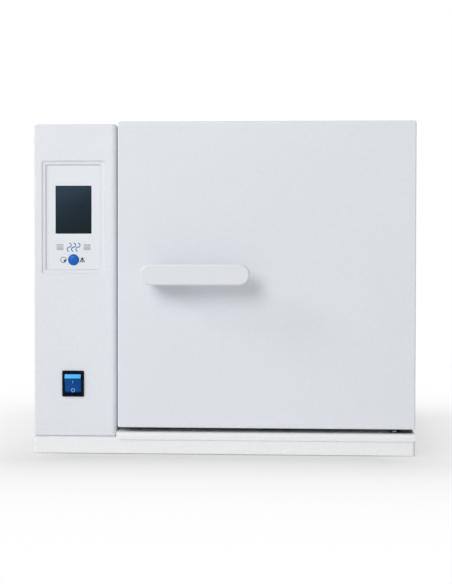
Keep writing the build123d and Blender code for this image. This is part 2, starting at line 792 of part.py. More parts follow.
with BuildPart() as tower_front:
    with BuildSketch(front_plane(tower_face_y)):
        with Locations((tower_middle_x, housing_middle_z)):
            RectangleRounded(tower_width, housing_height, tower_corner)
    extrude(amount=-tower_pan_depth)
    fillet(tower_front.faces().sort_by(Axis.Y)[0].edges(), tower_rounding)
    add(beyond_rounding(tower_right_x, tower_face_y, tower_z, tower_edge_radius), mode=Mode.SUBTRACT)
    add(pan_cavity.part, mode=Mode.SUBTRACT)
    block(
        (
            panel_middle_x - recess_width / 2 - recess_border,
            panel_middle_x + recess_width / 2 + recess_border,
        ),
        (tower_face_y + tower_pan_sheet, seat_back_y),
        (
            recess_middle_z - recess_height / 2 - recess_border,
            recess_middle_z + recess_height / 2 + recess_border,
        ),
    )
    with BuildSketch(front_plane(tower_face_y)):
        with Locations((panel_middle_x, recess_middle_z)):
            RectangleRounded(recess_width, recess_height, recess_corner)
    with BuildSketch(front_plane(recess_ledge_y)):
        with Locations((panel_middle_x, recess_middle_z)):
            RectangleRounded(*inset_size(recess_size, recess_wall_run), recess_corner)
    loft(mode=Mode.SUBTRACT)
    with BuildSketch(front_plane(recess_ledge_y)):
        with Locations((panel_middle_x, recess_middle_z)):
            RectangleRounded(*inset_size(fascia_size, -recess_wall_run), recess_corner)
    with BuildSketch(front_plane(recess_floor_y)):
        with Locations((panel_middle_x, recess_middle_z)):
            RectangleRounded(*fascia_size, recess_corner)
    loft(mode=Mode.SUBTRACT)
    with BuildSketch(front_plane(recess_floor_y)):
        with Locations((panel_middle_x, recess_middle_z)):
            RectangleRounded(fascia_width, fascia_height, recess_corner)
    extrude(amount=-fascia_sheet, mode=Mode.SUBTRACT)
    with BuildSketch(front_plane(fascia_back_y)):
        with Locations((panel_middle_x, recess_middle_z)):
            Rectangle(fascia_width - 2 * fascia_seat, fascia_height - 2 * fascia_seat)
    extrude(amount=-recess_floor, mode=Mode.SUBTRACT)
    with BuildSketch(front_plane(tower_face_y)):
        with Locations((panel_middle_x, rocker_middle_z)):
            Rectangle(rocker_body_width + 2 * screw_gap, rocker_body_height + 2 * screw_gap)
    extrude(amount=-tower_pan_sheet, mode=Mode.SUBTRACT)
tower_front.part.label = "tower_front"
export_step(tower_front.part, "parts/tower_front.step")

with BuildPart() as fascia_plate:
    with BuildSketch(front_plane(recess_floor_y)):
        with Locations((panel_middle_x, recess_middle_z)):
            RectangleRounded(fascia_width - 2 * fascia_fit, fascia_height - 2 * fascia_fit, recess_corner)
        with Locations((panel_middle_x, display_middle_z)):
            RectangleRounded(display_width, display_height, display_corner, mode=Mode.SUBTRACT)
        with Locations((panel_middle_x, button_z)):
            Circle(button_diameter / 2 + running_gap, mode=Mode.SUBTRACT)
    extrude(amount=-fascia_sheet)
fascia_plate.part.label = "fascia_plate"
export_step(fascia_plate.part, "parts/fascia_plate.step")

with BuildPart() as display_window:
    with BuildSketch(front_plane(recess_floor_y)):
        with Locations((panel_middle_x, display_middle_z)):
            RectangleRounded(
                display_width - 2 * display_fit,
                display_height - 2 * display_fit,
                inner_radius(display_corner, display_fit),
            )
    extrude(amount=-fascia_sheet)
display_window.part.label = "display_window"
export_step(display_window.part, "parts/display_window.step")

with BuildPart() as lcd_module:
    with BuildSketch(front_plane(fascia_back_y)):
        with Locations((panel_middle_x, display_middle_z)):
            RectangleRounded(module_width, module_height, display_corner)
    extrude(amount=-module_depth)
lcd_module.part.label = "lcd_module"
export_step(lcd_module.part, "parts/lcd_module.step")

with BuildPart() as control_board:
    with BuildSketch(front_plane(board_front_y)):
        with Locations((panel_middle_x, recess_middle_z)):
            RectangleRounded(board_width, board_height, recess_corner)
            with GridLocations(standoff_spacing_x, standoff_spacing_z, 2, 2):
                Circle(board_hole_diameter / 2, mode=Mode.SUBTRACT)
    extrude(amount=-board_sheet)
control_board.part.label = "control_board"
export_step(control_board.part, "parts/control_board.step")

with BuildPart() as board_standoffs:
    with BuildSketch(front_plane(seat_back_y)):
        with Locations((panel_middle_x, recess_middle_z)):
            with GridLocations(standoff_spacing_x, standoff_spacing_z, 2, 2):
                Circle(standoff_diameter / 2)
    extrude(amount=-(board_front_y - seat_back_y))
board_standoffs.part.label = "board_standoffs"
export_step(board_standoffs.part, "parts/board_standoffs.step")

with BuildPart() as push_button:
    rod("y", (button_face_y, button_collar_y), (panel_middle_x, button_z), button_diameter / 2)
    fillet(push_button.faces().sort_by(Axis.Y)[0].edges(), button_crown)
    rod("y", (button_collar_y, button_stem_y), (panel_middle_x, button_z), button_collar_diameter / 2)
    rod("y", (button_stem_y, button_end_y), (panel_middle_x, button_z), button_stem_diameter / 2)
push_button.part.label = "push_button"
export_step(push_button.part, "parts/push_button.step")

with BuildPart() as button_switch:
    block(
        (panel_middle_x - switch_body_size / 2, panel_middle_x + switch_body_size / 2),
        (plunger_y + switch_plunger_height, board_front_y),
        (button_z - switch_body_size / 2, button_z + switch_body_size / 2),
    )
    rod(
        "y",
        (plunger_y, plunger_y + switch_plunger_height),
        (panel_middle_x, button_z),
        switch_plunger_diameter / 2,
    )
button_switch.part.label = "button_switch"
export_step(button_switch.part, "parts/button_switch.step")

with BuildPart() as rocker_frame:
    with BuildSketch(front_plane(rocker_frame_front_y)):
        with Locations((panel_middle_x, rocker_middle_z)):
            RectangleRounded(rocker_frame_width, rocker_frame_height, rocker_frame_corner)
    extrude(amount=-rocker_frame_rise)
    fillet(rocker_frame.faces().sort_by(Axis.Y)[0].edges(), rocker_frame_rounding)
    with BuildSketch(front_plane(tower_face_y)):
        with Locations((panel_middle_x, rocker_middle_z)):
            Rectangle(rocker_body_width, rocker_body_height)
    extrude(amount=-(rocker_frame_depth - rocker_frame_rise))
    with BuildSketch(front_plane(rocker_frame_front_y)):
        with Locations((panel_middle_x, rocker_middle_z)):
            Rectangle(rocker_slot_width, rocker_slot_height)
    extrude(amount=-(rocker_frame_depth - rocker_frame_wall), mode=Mode.SUBTRACT)
    rod(
        "x",
        (panel_middle_x - rocker_body_width / 2, panel_middle_x + rocker_body_width / 2),
        (rocker_pivot_y, rocker_middle_z),
        rocker_back - running_gap,
    )
    with BuildSketch(front_plane(rocker_frame_back_y)):
        with Locations((panel_middle_x, rocker_middle_z)):
            with GridLocations(blade_spread, blade_pitch, 2, 2):
                Rectangle(blade_width, blade_sheet)
    extrude(amount=-blade_length)
rocker_frame.part.label = "rocker_frame"
export_step(rocker_frame.part, "parts/rocker_frame.step")

# The rocker's own plane stands at its pivot and leans with it, so that its
# lower half lies pressed in.
rocker_up = (0, -sin(radians(rocker_tilt)), cos(radians(rocker_tilt)))
rocker_pivot = (panel_middle_x, rocker_pivot_y, rocker_middle_z)
rocker_plane = Plane(origin=rocker_pivot, x_dir=rocker_up, z_dir=(1, 0, 0))
rocker_edge_rise = rocker_middle_rise + 2 * rocker_radius * tan(radians(rocker_tilt))
with BuildPart() as rocker:
    with BuildSketch(rocker_plane):
        Circle(rocker_radius)
        Polygon(
            (-2 * rocker_radius, -rocker_back),
            (2 * rocker_radius, -rocker_back),
            (2 * rocker_radius, rocker_edge_rise),
            (0, rocker_middle_rise),
            (-2 * rocker_radius, rocker_edge_rise),
            align=None,
            mode=Mode.INTERSECT,
        )
        Circle(rocker_back - running_gap + shaft_gap, mode=Mode.SUBTRACT)
    extrude(amount=rocker_width / 2, both=True)
rocker.part.label = "rocker"
export_step(rocker.part, "parts/rocker.step")

# --------------------------------------------- Electrical parts, tower


def on_partition(size, middle, lift=0):
    """The three ranges of a box of a size, standing on the partition at a place (y, z)."""
    return (
        (partition_x - lift - size[0], partition_x - lift),
        (middle[0] - size[1] / 2, middle[0] + size[1] / 2),
        (middle[1] - size[2] / 2, middle[1] + size[2] / 2),
    )


with BuildPart() as power_supply:
    block(*on_partition(supply_size, supply_middle))
    chamfer(power_supply.faces().sort_by(Axis.X)[0].edges(), supply_chamfer)
power_supply.part.label = "power_supply"
export_step(power_supply.part, "parts/power_supply.step")

with BuildPart() as relay_heatsink:
    block(*on_partition((sink_base, *sink_size[1:]), sink_middle))
    for i in range(sink_fin_count):
        fin_y = sink_middle[0] + (i / (sink_fin_count - 1) - 1 / 2) * (sink_size[1] - sink_fin_sheet)
        if abs(fin_y - sink_middle[0]) > relay_size[1] / 2:
            block(*on_partition((sink_size[0], sink_fin_sheet, sink_size[2]), (fin_y, sink_middle[1])))
relay_heatsink.part.label = "relay_heatsink"
export_step(relay_heatsink.part, "parts/relay_heatsink.step")

with BuildPart() as solid_state_relay:
    block(*on_partition(relay_size, sink_middle, sink_base))
    fillet(solid_state_relay.faces().sort_by(Axis.X)[0].edges(), relay_rounding)
solid_state_relay.part.label = "solid_state_relay"
export_step(solid_state_relay.part, "parts/solid_state_relay.step")

with BuildPart() as terminal_block:
    block(*on_partition(terminal_size, terminal_middle))
    with BuildSketch(side_plane(partition_x - terminal_size[0])):
        with Locations(terminal_middle):
            with GridLocations(terminal_size[1] / terminal_count, 0, terminal_count, 1):
                Circle(terminal_well_diameter / 2)
    extrude(amount=terminal_well_depth, mode=Mode.SUBTRACT)
terminal_block.part.label = "terminal_block"
export_step(terminal_block.part, "parts/terminal_block.step")

with BuildPart() as thermal_cutout:
    block(*on_partition(cutout_size, cutout_middle))
    fillet(thermal_cutout.edges().filter_by(Axis.X), relay_rounding)
    stem_end_x = partition_x - cutout_size[0] - cutout_stem_length
    rod("x", (stem_end_x, partition_x - cutout_size[0]), cutout_middle, cutout_stem_diameter / 2)
thermal_cutout.part.label = "thermal_cutout"
export_step(thermal_cutout.part, "parts/thermal_cutout.step")

inlet_back_y = rear_y - inlet_body_depth
inlet_outer_y = rear_y + inlet_flange_sheet
inlet_floor_y = inlet_outer_y - inlet_cavity_depth
inlet_pin_places = (
    (panel_middle_x - inlet_pin_pitch, inlet_z - inlet_pin_drop),
    (panel_middle_x, inlet_z + inlet_pin_drop),
    (panel_middle_x + inlet_pin_pitch, inlet_z - inlet_pin_drop),
)
with BuildPart() as mains_inlet:
    with BuildSketch(front_plane(rear_y)):
        with Locations((panel_middle_x, inlet_z)):
            RectangleRounded(inlet_flange_width, inlet_flange_height, inlet_flange_corner)
    extrude(amount=-inlet_flange_sheet)
    block(
        (panel_middle_x - inlet_body_width / 2, panel_middle_x + inlet_body_width / 2),
        (inlet_back_y, rear_y),
        (inlet_z - inlet_body_height / 2, inlet_z + inlet_body_height / 2),
    )
    with BuildSketch(front_plane(inlet_floor_y)):
        with Locations((panel_middle_x, inlet_z)):
            RectangleRounded(inlet_cavity_width, inlet_cavity_height, inlet_cavity_corner)
    extrude(amount=-inlet_cavity_depth, mode=Mode.SUBTRACT)
    with BuildSketch(front_plane(inlet_back_y)):
        with Locations(*inlet_pin_places):
            Rectangle(inlet_pin_sheet, inlet_pin_width)
    extrude(amount=-(inlet_floor_y - inlet_back_y), mode=Mode.SUBTRACT)
mains_inlet.part.label = "mains_inlet"
export_step(mains_inlet.part, "parts/mains_inlet.step")

with BuildPart() as inlet_pins:
    with BuildSketch(front_plane(inlet_back_y - inlet_tab_length)):
        with Locations(*inlet_pin_places):
            Rectangle(inlet_pin_sheet, inlet_pin_width)
    extrude(amount=-(inlet_floor_y + inlet_pin_length - inlet_back_y + inlet_tab_length))
inlet_pins.part.label = "inlet_pins"
export_step(inlet_pins.part, "parts/inlet_pins.step")

with BuildPart() as fuse_holders:
    with BuildSketch(front_plane(rear_y - fuse_body_depth)):
        with Locations((panel_middle_x, fuse_z)):
            with GridLocations(fuse_pitch, 0, 2, 1):
                Circle(fuse_body_diameter / 2)
    extrude(amount=-fuse_body_depth)
    with BuildSketch(front_plane(rear_y)):
        with Locations((panel_middle_x, fuse_z)):
            with GridLocations(fuse_pitch, 0, 2, 1):
                Circle(fuse_cap_diameter / 2)
    extrude(amount=-fuse_cap_height)
    chamfer(fuse_holders.faces().group_by(Axis.Y)[-1].edges(), fuse_cap_chamfer)
fuse_holders.part.label = "fuse_holders"
export_step(fuse_holders.part, "parts/fuse_holders.step")

# ------------------------------------------------ Fan, heater and probe

with BuildPart() as fan_motor:
    rod("x", (motor_back_x, motor_face_x), fan_axis, motor_diameter / 2)
    fillet(fan_motor.faces().sort_by(Axis.X)[0].edges(), motor_rounding)
    rod("x", (motor_face_x, motor_boss_x), fan_axis, motor_boss_diameter / 2)
    motor_bore = (shaft_back_x - running_gap, motor_boss_x)
    rod("x", motor_bore, fan_axis, shaft_diameter / 2 + shaft_gap, Mode.SUBTRACT)
fan_motor.part.label = "fan_motor"
export_step(fan_motor.part, "parts/fan_motor.step")

with BuildPart() as motor_bracket:
    with BuildSketch(side_plane(motor_face_x)):
        with Locations(fan_axis):
            RectangleRounded(bracket_size, bracket_size, bracket_corner)
            Circle(motor_boss_diameter / 2 + screw_gap, mode=Mode.SUBTRACT)
    extrude(amount=bracket_sheet)
    with BuildSketch(side_plane(motor_face_x + bracket_sheet)):
        with Locations(fan_axis):
            with GridLocations(bracket_leg_pitch, bracket_leg_pitch, 2, 2):
                Circle(bracket_leg_diameter / 2)
    extrude(amount=motor_standoff)
motor_bracket.part.label = "motor_bracket"
export_step(motor_bracket.part, "parts/motor_bracket.step")

with BuildPart() as fan_shaft:
    rod("x", (shaft_back_x, impeller_front_x), fan_axis, shaft_diameter / 2)
fan_shaft.part.label = "fan_shaft"
export_step(fan_shaft.part, "parts/fan_shaft.step")

impeller_blade_radius = (impeller_diameter - impeller_blade_length) / 2 - impeller_sheet
with BuildPart() as fan_impeller:
    rod("x", (impeller_back_x, impeller_back_x + impeller_sheet), fan_axis, impeller_diameter / 2)
    with BuildSketch(side_plane(impeller_back_x + impeller_sheet)):
        with Locations(fan_axis):
            with PolarLocations(impeller_blade_radius, impeller_blade_count):
                Rectangle(impeller_blade_length, impeller_sheet, rotation=impeller_blade_slant)
    extrude(amount=impeller_blade_depth)
    rod("x", (impeller_back_x, impeller_front_x), fan_axis, impeller_hub_diameter / 2)
    rod("x", (impeller_back_x, impeller_front_x), fan_axis, shaft_diameter / 2, Mode.SUBTRACT)
fan_impeller.part.label = "fan_impeller"
export_step(fan_impeller.part, "parts/fan_impeller.step")

with BuildPart() as ring_heater:
    with Locations(Location((heater_x, fan_y, fan_z), axis_turns["x"])):
        Torus(heater_ring_diameter / 2, heater_tube_diameter / 2)
    for leg_y in heater_leg_ys:
        rod("x", (heater_end_x, heater_x), (leg_y, heater_leg_z), heater_leg_diameter / 2)
        rod(
            "x",
            (heater_end_x - heater_stud_length, heater_end_x),
            (leg_y, heater_leg_z),
            heater_stud_diameter / 2,
        )
ring_heater.part.label = "ring_heater"
export_step(ring_heater.part, "parts/ring_heater.step")

with BuildPart() as temperature_probe:
    probe_span = (partition_x - probe_in_tower, baffle_face_x + probe_in_chamber)
    rod("x", probe_span, (probe_y, probe_z), probe_diameter / 2)
    fillet(temperature_probe.faces().sort_by(Axis.X)[-1].edges(), probe_rounding)
temperature_probe.part.label = "temperature_probe"
export_step(temperature_probe.part, "parts/temperature_probe.step")

# -------------------------------------- Chamber, plenum and insulation

chamber_place = (chamber_middle_x, chamber_middle_z)
with BuildPart() as chamber_liner:
    with BuildSketch(front_plane(frame_back_y)):
        with Locations(chamber_place):
            RectangleRounded(
                chamber_width + 2 * liner_sheet,
                chamber_height + 2 * liner_sheet,
                chamber_corner + liner_sheet,
            )
    extrude(amount=-(chamber_depth + liner_sheet))
    with BuildSketch(front_plane(frame_back_y)):
        with Locations(chamber_place):
            RectangleRounded(
                chamber_width + 2 * liner_flange,
                chamber_height + 2 * liner_flange,
                chamber_corner + liner_flange,
            )
    extrude(amount=-liner_sheet)
    with BuildSketch(front_plane(frame_back_y)):
        with Locations(chamber_place):
            RectangleRounded(chamber_width, chamber_height, chamber_corner)
    extrude(amount=-chamber_depth, mode=Mode.SUBTRACT)
    block(
        (plenum_front_x, chamber_left_x),
        (fan_y - plenum_width / 2, fan_y + plenum_width / 2),
        (fan_z - plenum_height / 2, fan_z + plenum_height / 2),
        Mode.SUBTRACT,
    )
    vent_hole = vent_diameter / 2 + screw_gap
    rod("y", (chamber_rear_y, chamber_rear_y + liner_sheet), (vent_x, vent_z), vent_hole, Mode.SUBTRACT)
chamber_liner.part.label = "chamber_liner"
export_step(chamber_liner.part, "parts/chamber_liner.step")

plenum_outer_width = plenum_width + 2 * plenum_border
plenum_outer_height = plenum_height + 2 * plenum_border
with BuildPart() as fan_plenum:
    with BuildSketch(side_plane(plenum_outer_x)):
        with Locations(fan_axis):
            RectangleRounded(plenum_outer_width, plenum_outer_height, chamber_corner)
    extrude(amount=plenum_front_x - plenum_outer_x)
    with BuildSketch(side_plane(plenum_back_x)):
        with Locations(fan_axis):
            RectangleRounded(
                plenum_outer_width - 2 * liner_sheet,
                plenum_outer_height - 2 * liner_sheet,
                inner_radius(chamber_corner, liner_sheet),
            )
    extrude(amount=plenum_depth, mode=Mode.SUBTRACT)
    service_holes((plenum_outer_x, plenum_back_x), screw_gap)
fan_plenum.part.label = "fan_plenum"
export_step(fan_plenum.part, "parts/fan_plenum.step")

with BuildPart() as air_baffle:
    with BuildSketch(side_plane(chamber_left_x)):
        with Locations(fan_axis):
            Rectangle(baffle_width, baffle_height)
            Circle(baffle_hole_diameter / 2, mode=Mode.SUBTRACT)
            for ring in range(1, baffle_ring_count + 1):
                with PolarLocations(ring * baffle_hole_pitch, ring * baffle_ring_step):
                    Circle(baffle_hole_diameter / 2, mode=Mode.SUBTRACT)
            with GridLocations(
                plenum_width - 2 * baffle_slot_inset, baffle_slot_pitch, 2, baffle_slot_count
            ):
                SlotOverall(baffle_slot_length, baffle_slot_width, mode=Mode.SUBTRACT)
        with Locations((probe_y, probe_z)):
            Circle(probe_diameter / 2 + screw_gap, mode=Mode.SUBTRACT)
    extrude(amount=baffle_sheet)
air_baffle.part.label = "air_baffle"
export_step(air_baffle.part, "parts/air_baffle.step")

with BuildPart() as chamber_insulation:
    block(
        (tower_right_x + running_gap, right_x - casing_sheet - running_gap),
        (insulation_front_y, insulation_rear_y),
        (plinth_top_z + running_gap, housing_top_z - casing_sheet - running_gap),
    )
    liner_clearance = liner_sheet + running_gap
    with BuildSketch(front_plane(insulation_front_y)):
        with Locations(chamber_place):
            RectangleRounded(
                chamber_width + 2 * liner_clearance,
                chamber_height + 2 * liner_clearance,
                chamber_corner + liner_clearance,
            )
    extrude(amount=-(chamber_rear_y + liner_clearance - insulation_front_y), mode=Mode.SUBTRACT)
    block(
        (plenum_outer_x - running_gap, chamber_left_x),
        (fan_y - plenum_outer_width / 2 - running_gap, fan_y + plenum_outer_width / 2 + running_gap),
        (fan_z - plenum_outer_height / 2 - running_gap, fan_z + plenum_outer_height / 2 + running_gap),
        Mode.SUBTRACT,
    )
    block(
        (keeper_left_x - keeper_sheet - running_gap, keeper_right_x + keeper_sheet + running_gap),
        (insulation_front_y, keeper_back_y + running_gap),
        (keeper_bottom_z - keeper_sheet - running_gap, keeper_top_z + keeper_sheet + running_gap),
        Mode.SUBTRACT,
    )
    block(
        (hinge_x - hinge_arm_radius - running_gap, hinge_x + hinge_arm_radius + running_gap),
        (insulation_front_y, frame_back_y + hinge_plate + running_gap),
        (hinge_arm_top_z - hinge_tab_height - running_gap, hinge_arm_top_z + running_gap),
        Mode.SUBTRACT,
    )
    service_holes((tower_right_x, plenum_outer_x), running_gap)
    vent_hole = vent_diameter / 2 + running_gap
    rod("y", (chamber_rear_y, insulation_rear_y), (vent_x, vent_z), vent_hole, Mode.SUBTRACT)
chamber_insulation.part.label = "chamber_insulation"
export_step(chamber_insulation.part, "parts/chamber_insulation.step")

vent_bore = vent_diameter / 2 - vent_wall
with BuildPart() as vent_tube:
    rod("y", (chamber_rear_y, rear_y), (vent_x, vent_z), vent_diameter / 2)
    rod("y", (chamber_rear_y, rear_y), (vent_x, vent_z), vent_bore, Mode.SUBTRACT)
vent_tube.part.label = "vent_tube"
export_step(vent_tube.part, "parts/vent_tube.step")

with BuildPart() as vent_cap:
    rod("y", (rear_y, rear_y + rear_reach), (vent_x, vent_z), vent_cap_diameter / 2)
    fillet(vent_cap.faces().sort_by(Axis.Y)[-1].edges(), vent_cap_rounding)
    rod("y", (rear_y - vent_cap_spigot, rear_y), (vent_x, vent_z), vent_bore - shaft_gap)
    with BuildSketch(front_plane(rear_y - vent_cap_spigot)):
        with Locations((vent_x, vent_z)):
            Circle(vent_hole_diameter / 2)
            with PolarLocations(vent_hole_ring_diameter / 2, vent_hole_count):
                Circle(vent_hole_diameter / 2)
    extrude(amount=-(vent_cap_spigot + rear_reach), mode=Mode.SUBTRACT)
vent_cap.part.label = "vent_cap"
export_step(vent_cap.part, "parts/vent_cap.step")

# ------------------------------------------------------ Rails and shelves

rail_post_ys = (shelf_front_y + rail_post_inset, shelf_rear_y - rail_post_inset)
rail_post_span = (fan_z - baffle_height / 2, fan_z + baffle_height / 2)


def rail(wall_x, inward):
    """Posts, and a ledge for each shelf, standing inward (1 or -1) from the wall at wall_x."""
    face_x = wall_x + inward * rail_sheet
    edge_x = face_x + inward * rail_ledge_width
    for post_y in rail_post_ys:
        post_span = (post_y - rail_post_width / 2, post_y + rail_post_width / 2)
        block(sorted((wall_x, face_x)), post_span, rail_post_span)
    for shelf_z in shelf_floors:
        ledge_z = shelf_z - running_gap - rail_sheet
        block(sorted((wall_x, edge_x)), (rail_front_y, rail_rear_y), (ledge_z, ledge_z + rail_sheet))
        block(
            sorted((wall_x, edge_x)),
            (rail_rear_y - rail_sheet, rail_rear_y),
            (ledge_z, ledge_z + rail_sheet + rail_stop_height),
        )


with BuildPart() as shelf_rail_left:
    rail(baffle_face_x, 1)
shelf_rail_left.part.label = "shelf_rail_left"
export_step(shelf_rail_left.part, "parts/shelf_rail_left.step")

with BuildPart() as shelf_rail_right:
    rail(chamber_right_x, -1)
shelf_rail_right.part.label = "shelf_rail_right"
export_step(shelf_rail_right.part, "parts/shelf_rail_right.step")

for shelf_name, shelf_z in zip(("lower", "middle", "upper"), shelf_floors):
    with BuildPart() as shelf:
        with BuildSketch(Plane.XY.offset(shelf_z)):
            with Locations((shelf_middle_x, shelf_middle_y)):
                RectangleRounded(shelf_width, shelf_depth, shelf_corner)
        extrude(amount=shelf_edge_height)
        with BuildSketch(Plane.XY.offset(shelf_z + shelf_sheet)):
            with Locations((shelf_middle_x, shelf_middle_y)):
                RectangleRounded(
                    shelf_width - 2 * shelf_sheet,
                    shelf_depth - 2 * shelf_sheet,
                    inner_radius(shelf_corner, shelf_sheet),
                )
        extrude(amount=shelf_edge_height, mode=Mode.SUBTRACT)
        with BuildSketch(Plane.XY.offset(shelf_z)):
            with Locations((shelf_middle_x, shelf_middle_y)):
                with GridLocations(
                    shelf_slot_pitch_x, shelf_slot_pitch_y, shelf_slot_columns, shelf_slot_rows
                ):
                    SlotOverall(shelf_slot_length, shelf_slot_width)
        extrude(amount=shelf_sheet, mode=Mode.SUBTRACT)
    shelf.part.label = "shelf_" + shelf_name
    export_step(shelf.part, f"parts/shelf_{shelf_name}.step")

# ------------------------------------------------------------------ Door

door_place = (door_middle_x, door_middle_z)
door_inner_width = door_width - 2 * door_sheet
door_inner_height = door_height - 2 * door_sheet
door_inner_corner = inner_radius(door_corner, door_sheet)
notch_z = (notch_bottom_z, notch_top_z)
with BuildPart() as door_skin:
    with BuildSketch(front_plane(door_face_y)):
        with Locations(door_place):
            RectangleRounded(door_width, door_height, door_corner)
    extrude(amount=-door_thickness)
    fillet(door_skin.faces().sort_by(Axis.Y)[0].edges(), door_rounding)
    with BuildSketch(front_plane(door_inner_y)):
        with Locations(door_place):
            RectangleRounded(door_inner_width, door_inner_height, door_inner_corner)
    extrude(amount=-door_thickness, mode=Mode.SUBTRACT)
    block((right_x - door_sheet, right_x), (notch_front_y, door_back_y), notch_z, Mode.SUBTRACT)
    bush_hole = spindle_bush_diameter / 2 + shaft_gap
    rod("y", (door_face_y, door_inner_y), (spindle_x, spindle_z), bush_hole, Mode.SUBTRACT)
    rod("z", (door_bottom_z, lower_block_z), (hinge_x, hinge_y), bush_diameter / 2 + shaft_gap, Mode.SUBTRACT)
door_skin.part.label = "door_skin"
export_step(door_skin.part, "parts/door_skin.step")

plug_width = chamber_width - 2 * plug_clearance
plug_height = chamber_height - 2 * plug_clearance
with BuildPart() as door_liner:
    with BuildSketch(front_plane(door_liner_y)):
        with Locations(door_place):
            RectangleRounded(door_inner_width, door_inner_height, door_inner_corner)
    extrude(amount=-door_sheet)
    with BuildSketch(front_plane(door_back_y)):
        with Locations(chamber_place):
            RectangleRounded(plug_width, plug_height, plug_corner)
    extrude(amount=-plug_depth)
    fillet(door_liner.faces().sort_by(Axis.Y)[-1].edges(), plug_rounding)
    with BuildSketch(front_plane(door_liner_y)):
        with Locations(chamber_place):
            RectangleRounded(
                plug_width - 2 * plug_rounding,
                plug_height - 2 * plug_rounding,
                inner_radius(plug_corner, plug_rounding),
            )
    extrude(amount=-plug_depth, mode=Mode.SUBTRACT)
    block((notch_left_x, right_x), (door_liner_y, door_back_y), notch_z, Mode.SUBTRACT)
    rod("y", (door_liner_y, door_back_y), (spindle_x, spindle_z), bush_hole, Mode.SUBTRACT)
    screw_holes((door_liner_y, door_back_y), door_screw_places, door_screw_diameter)
door_liner.part.label = "door_liner"
export_step(door_liner.part, "parts/door_liner.step")

door_insulation_y = door_inner_y + running_gap
with BuildPart() as door_insulation:
    with BuildSketch(front_plane(door_insulation_y)):
        with Locations(door_place):
            RectangleRounded(
                door_inner_width - 2 * running_gap,
                door_inner_height - 2 * running_gap,
                inner_radius(door_inner_corner, running_gap),
            )
    extrude(amount=-door_insulation_depth)
    corner_x = (min(hinge_block_left_x, notch_left_x) - running_gap, right_x)
    corner_y = (door_face_y, door_back_y)
    lower_corner_z = (door_bottom_z, lower_block_z + hinge_block_height + running_gap)
    block(corner_x, corner_y, lower_corner_z, Mode.SUBTRACT)
    block(corner_x, corner_y, (upper_block_z - running_gap, overall_height), Mode.SUBTRACT)
    rod("y", corner_y, (spindle_x, spindle_z), bush_hole + running_gap, Mode.SUBTRACT)
door_insulation.part.label = "door_insulation"
export_step(door_insulation.part, "parts/door_insulation.step")

gasket_outer = 2 * (gasket_inset + gasket_width)
with BuildPart() as door_gasket:
    with BuildSketch(front_plane(door_back_y)):
        with Locations(chamber_place):
            RectangleRounded(
                chamber_width + gasket_outer, chamber_height + gasket_outer, chamber_corner + gasket_outer / 2
            )
            RectangleRounded(
                chamber_width + 2 * gasket_inset,
                chamber_height + 2 * gasket_inset,
                chamber_corner + gasket_inset,
                mode=Mode.SUBTRACT,
            )
    extrude(amount=-(door_gap - running_gap))
    fillet(door_gasket.faces().sort_by(Axis.Y)[-1].edges(), gasket_rounding)
door_gasket.part.label = "door_gasket"
export_step(door_gasket.part, "parts/door_gasket.step")

with BuildPart() as door_screws:
    for place in door_screw_places:
        head_y = (door_back_y, door_back_y + door_screw_head_height)
        rod("y", head_y, place, door_screw_head_diameter / 2)
    fillet(door_screws.faces().group_by(Axis.Y)[-1].edges(), door_screw_head_height / 2)
    for place in door_screw_places:
        rod("y", (door_back_y - door_screw_length, door_back_y), place, door_screw_diameter / 2)
door_screws.part.label = "door_screws"
export_step(door_screws.part, "parts/door_screws.step")

# ---------------------------------------------------------------- Hinges

hinge_place = (hinge_x, hinge_y)
block_x = (hinge_block_left_x, right_x - door_sheet)
block_y = (door_inner_y, door_inner_y + hinge_block_depth)
bush_bore = hinge_pin_diameter / 2 + shaft_gap
with BuildPart() as hinge_blocks:
    for block_z in (lower_block_z, upper_block_z):
        block(block_x, block_y, (block_z, block_z + hinge_block_height))
    fillet(hinge_blocks.edges().filter_by(Axis.Y), door_corner)
    bush_fit = bush_diameter / 2 + shaft_gap
    for block_z in (lower_block_z, upper_block_z):
        rod("z", (block_z, block_z + hinge_block_height), hinge_place, bush_fit, Mode.SUBTRACT)
hinge_blocks.part.label = "hinge_blocks"
export_step(hinge_blocks.part, "parts/hinge_blocks.step")

lower_bush_top_z = lower_block_z + hinge_block_height
with BuildPart() as hinge_bushes:
    rod("z", (hinge_plate_top_z + running_gap, door_bottom_z), hinge_place, bush_collar_diameter / 2)
    rod("z", (door_bottom_z, lower_bush_top_z), hinge_place, bush_diameter / 2)
    rod("z", (hinge_plate_top_z, lower_bush_top_z), hinge_place, bush_bore, Mode.SUBTRACT)
    rod("z", (upper_block_z, upper_block_top_z), hinge_place, bush_diameter / 2)
    rod("z", (upper_block_top_z, hinge_arm_z - running_gap), hinge_place, bush_collar_diameter / 2)
    rod("z", (upper_block_z, hinge_arm_z), hinge_place, bush_bore, Mode.SUBTRACT)
hinge_bushes.part.label = "hinge_bushes"
export_step(hinge_bushes.part, "parts/hinge_bushes.step")

with BuildPart() as hinge_pins:
    rod("z", (sill_top_z, door_bottom_z + hinge_pin_reach), hinge_place, hinge_pin_diameter / 2)
    upper_pin_z = (notch_bottom_z - hinge_pin_reach, hinge_arm_top_z)
    rod("z", upper_pin_z, hinge_place, hinge_pin_diameter / 2)
hinge_pins.part.label = "hinge_pins"
export_step(hinge_pins.part, "parts/hinge_pins.step")

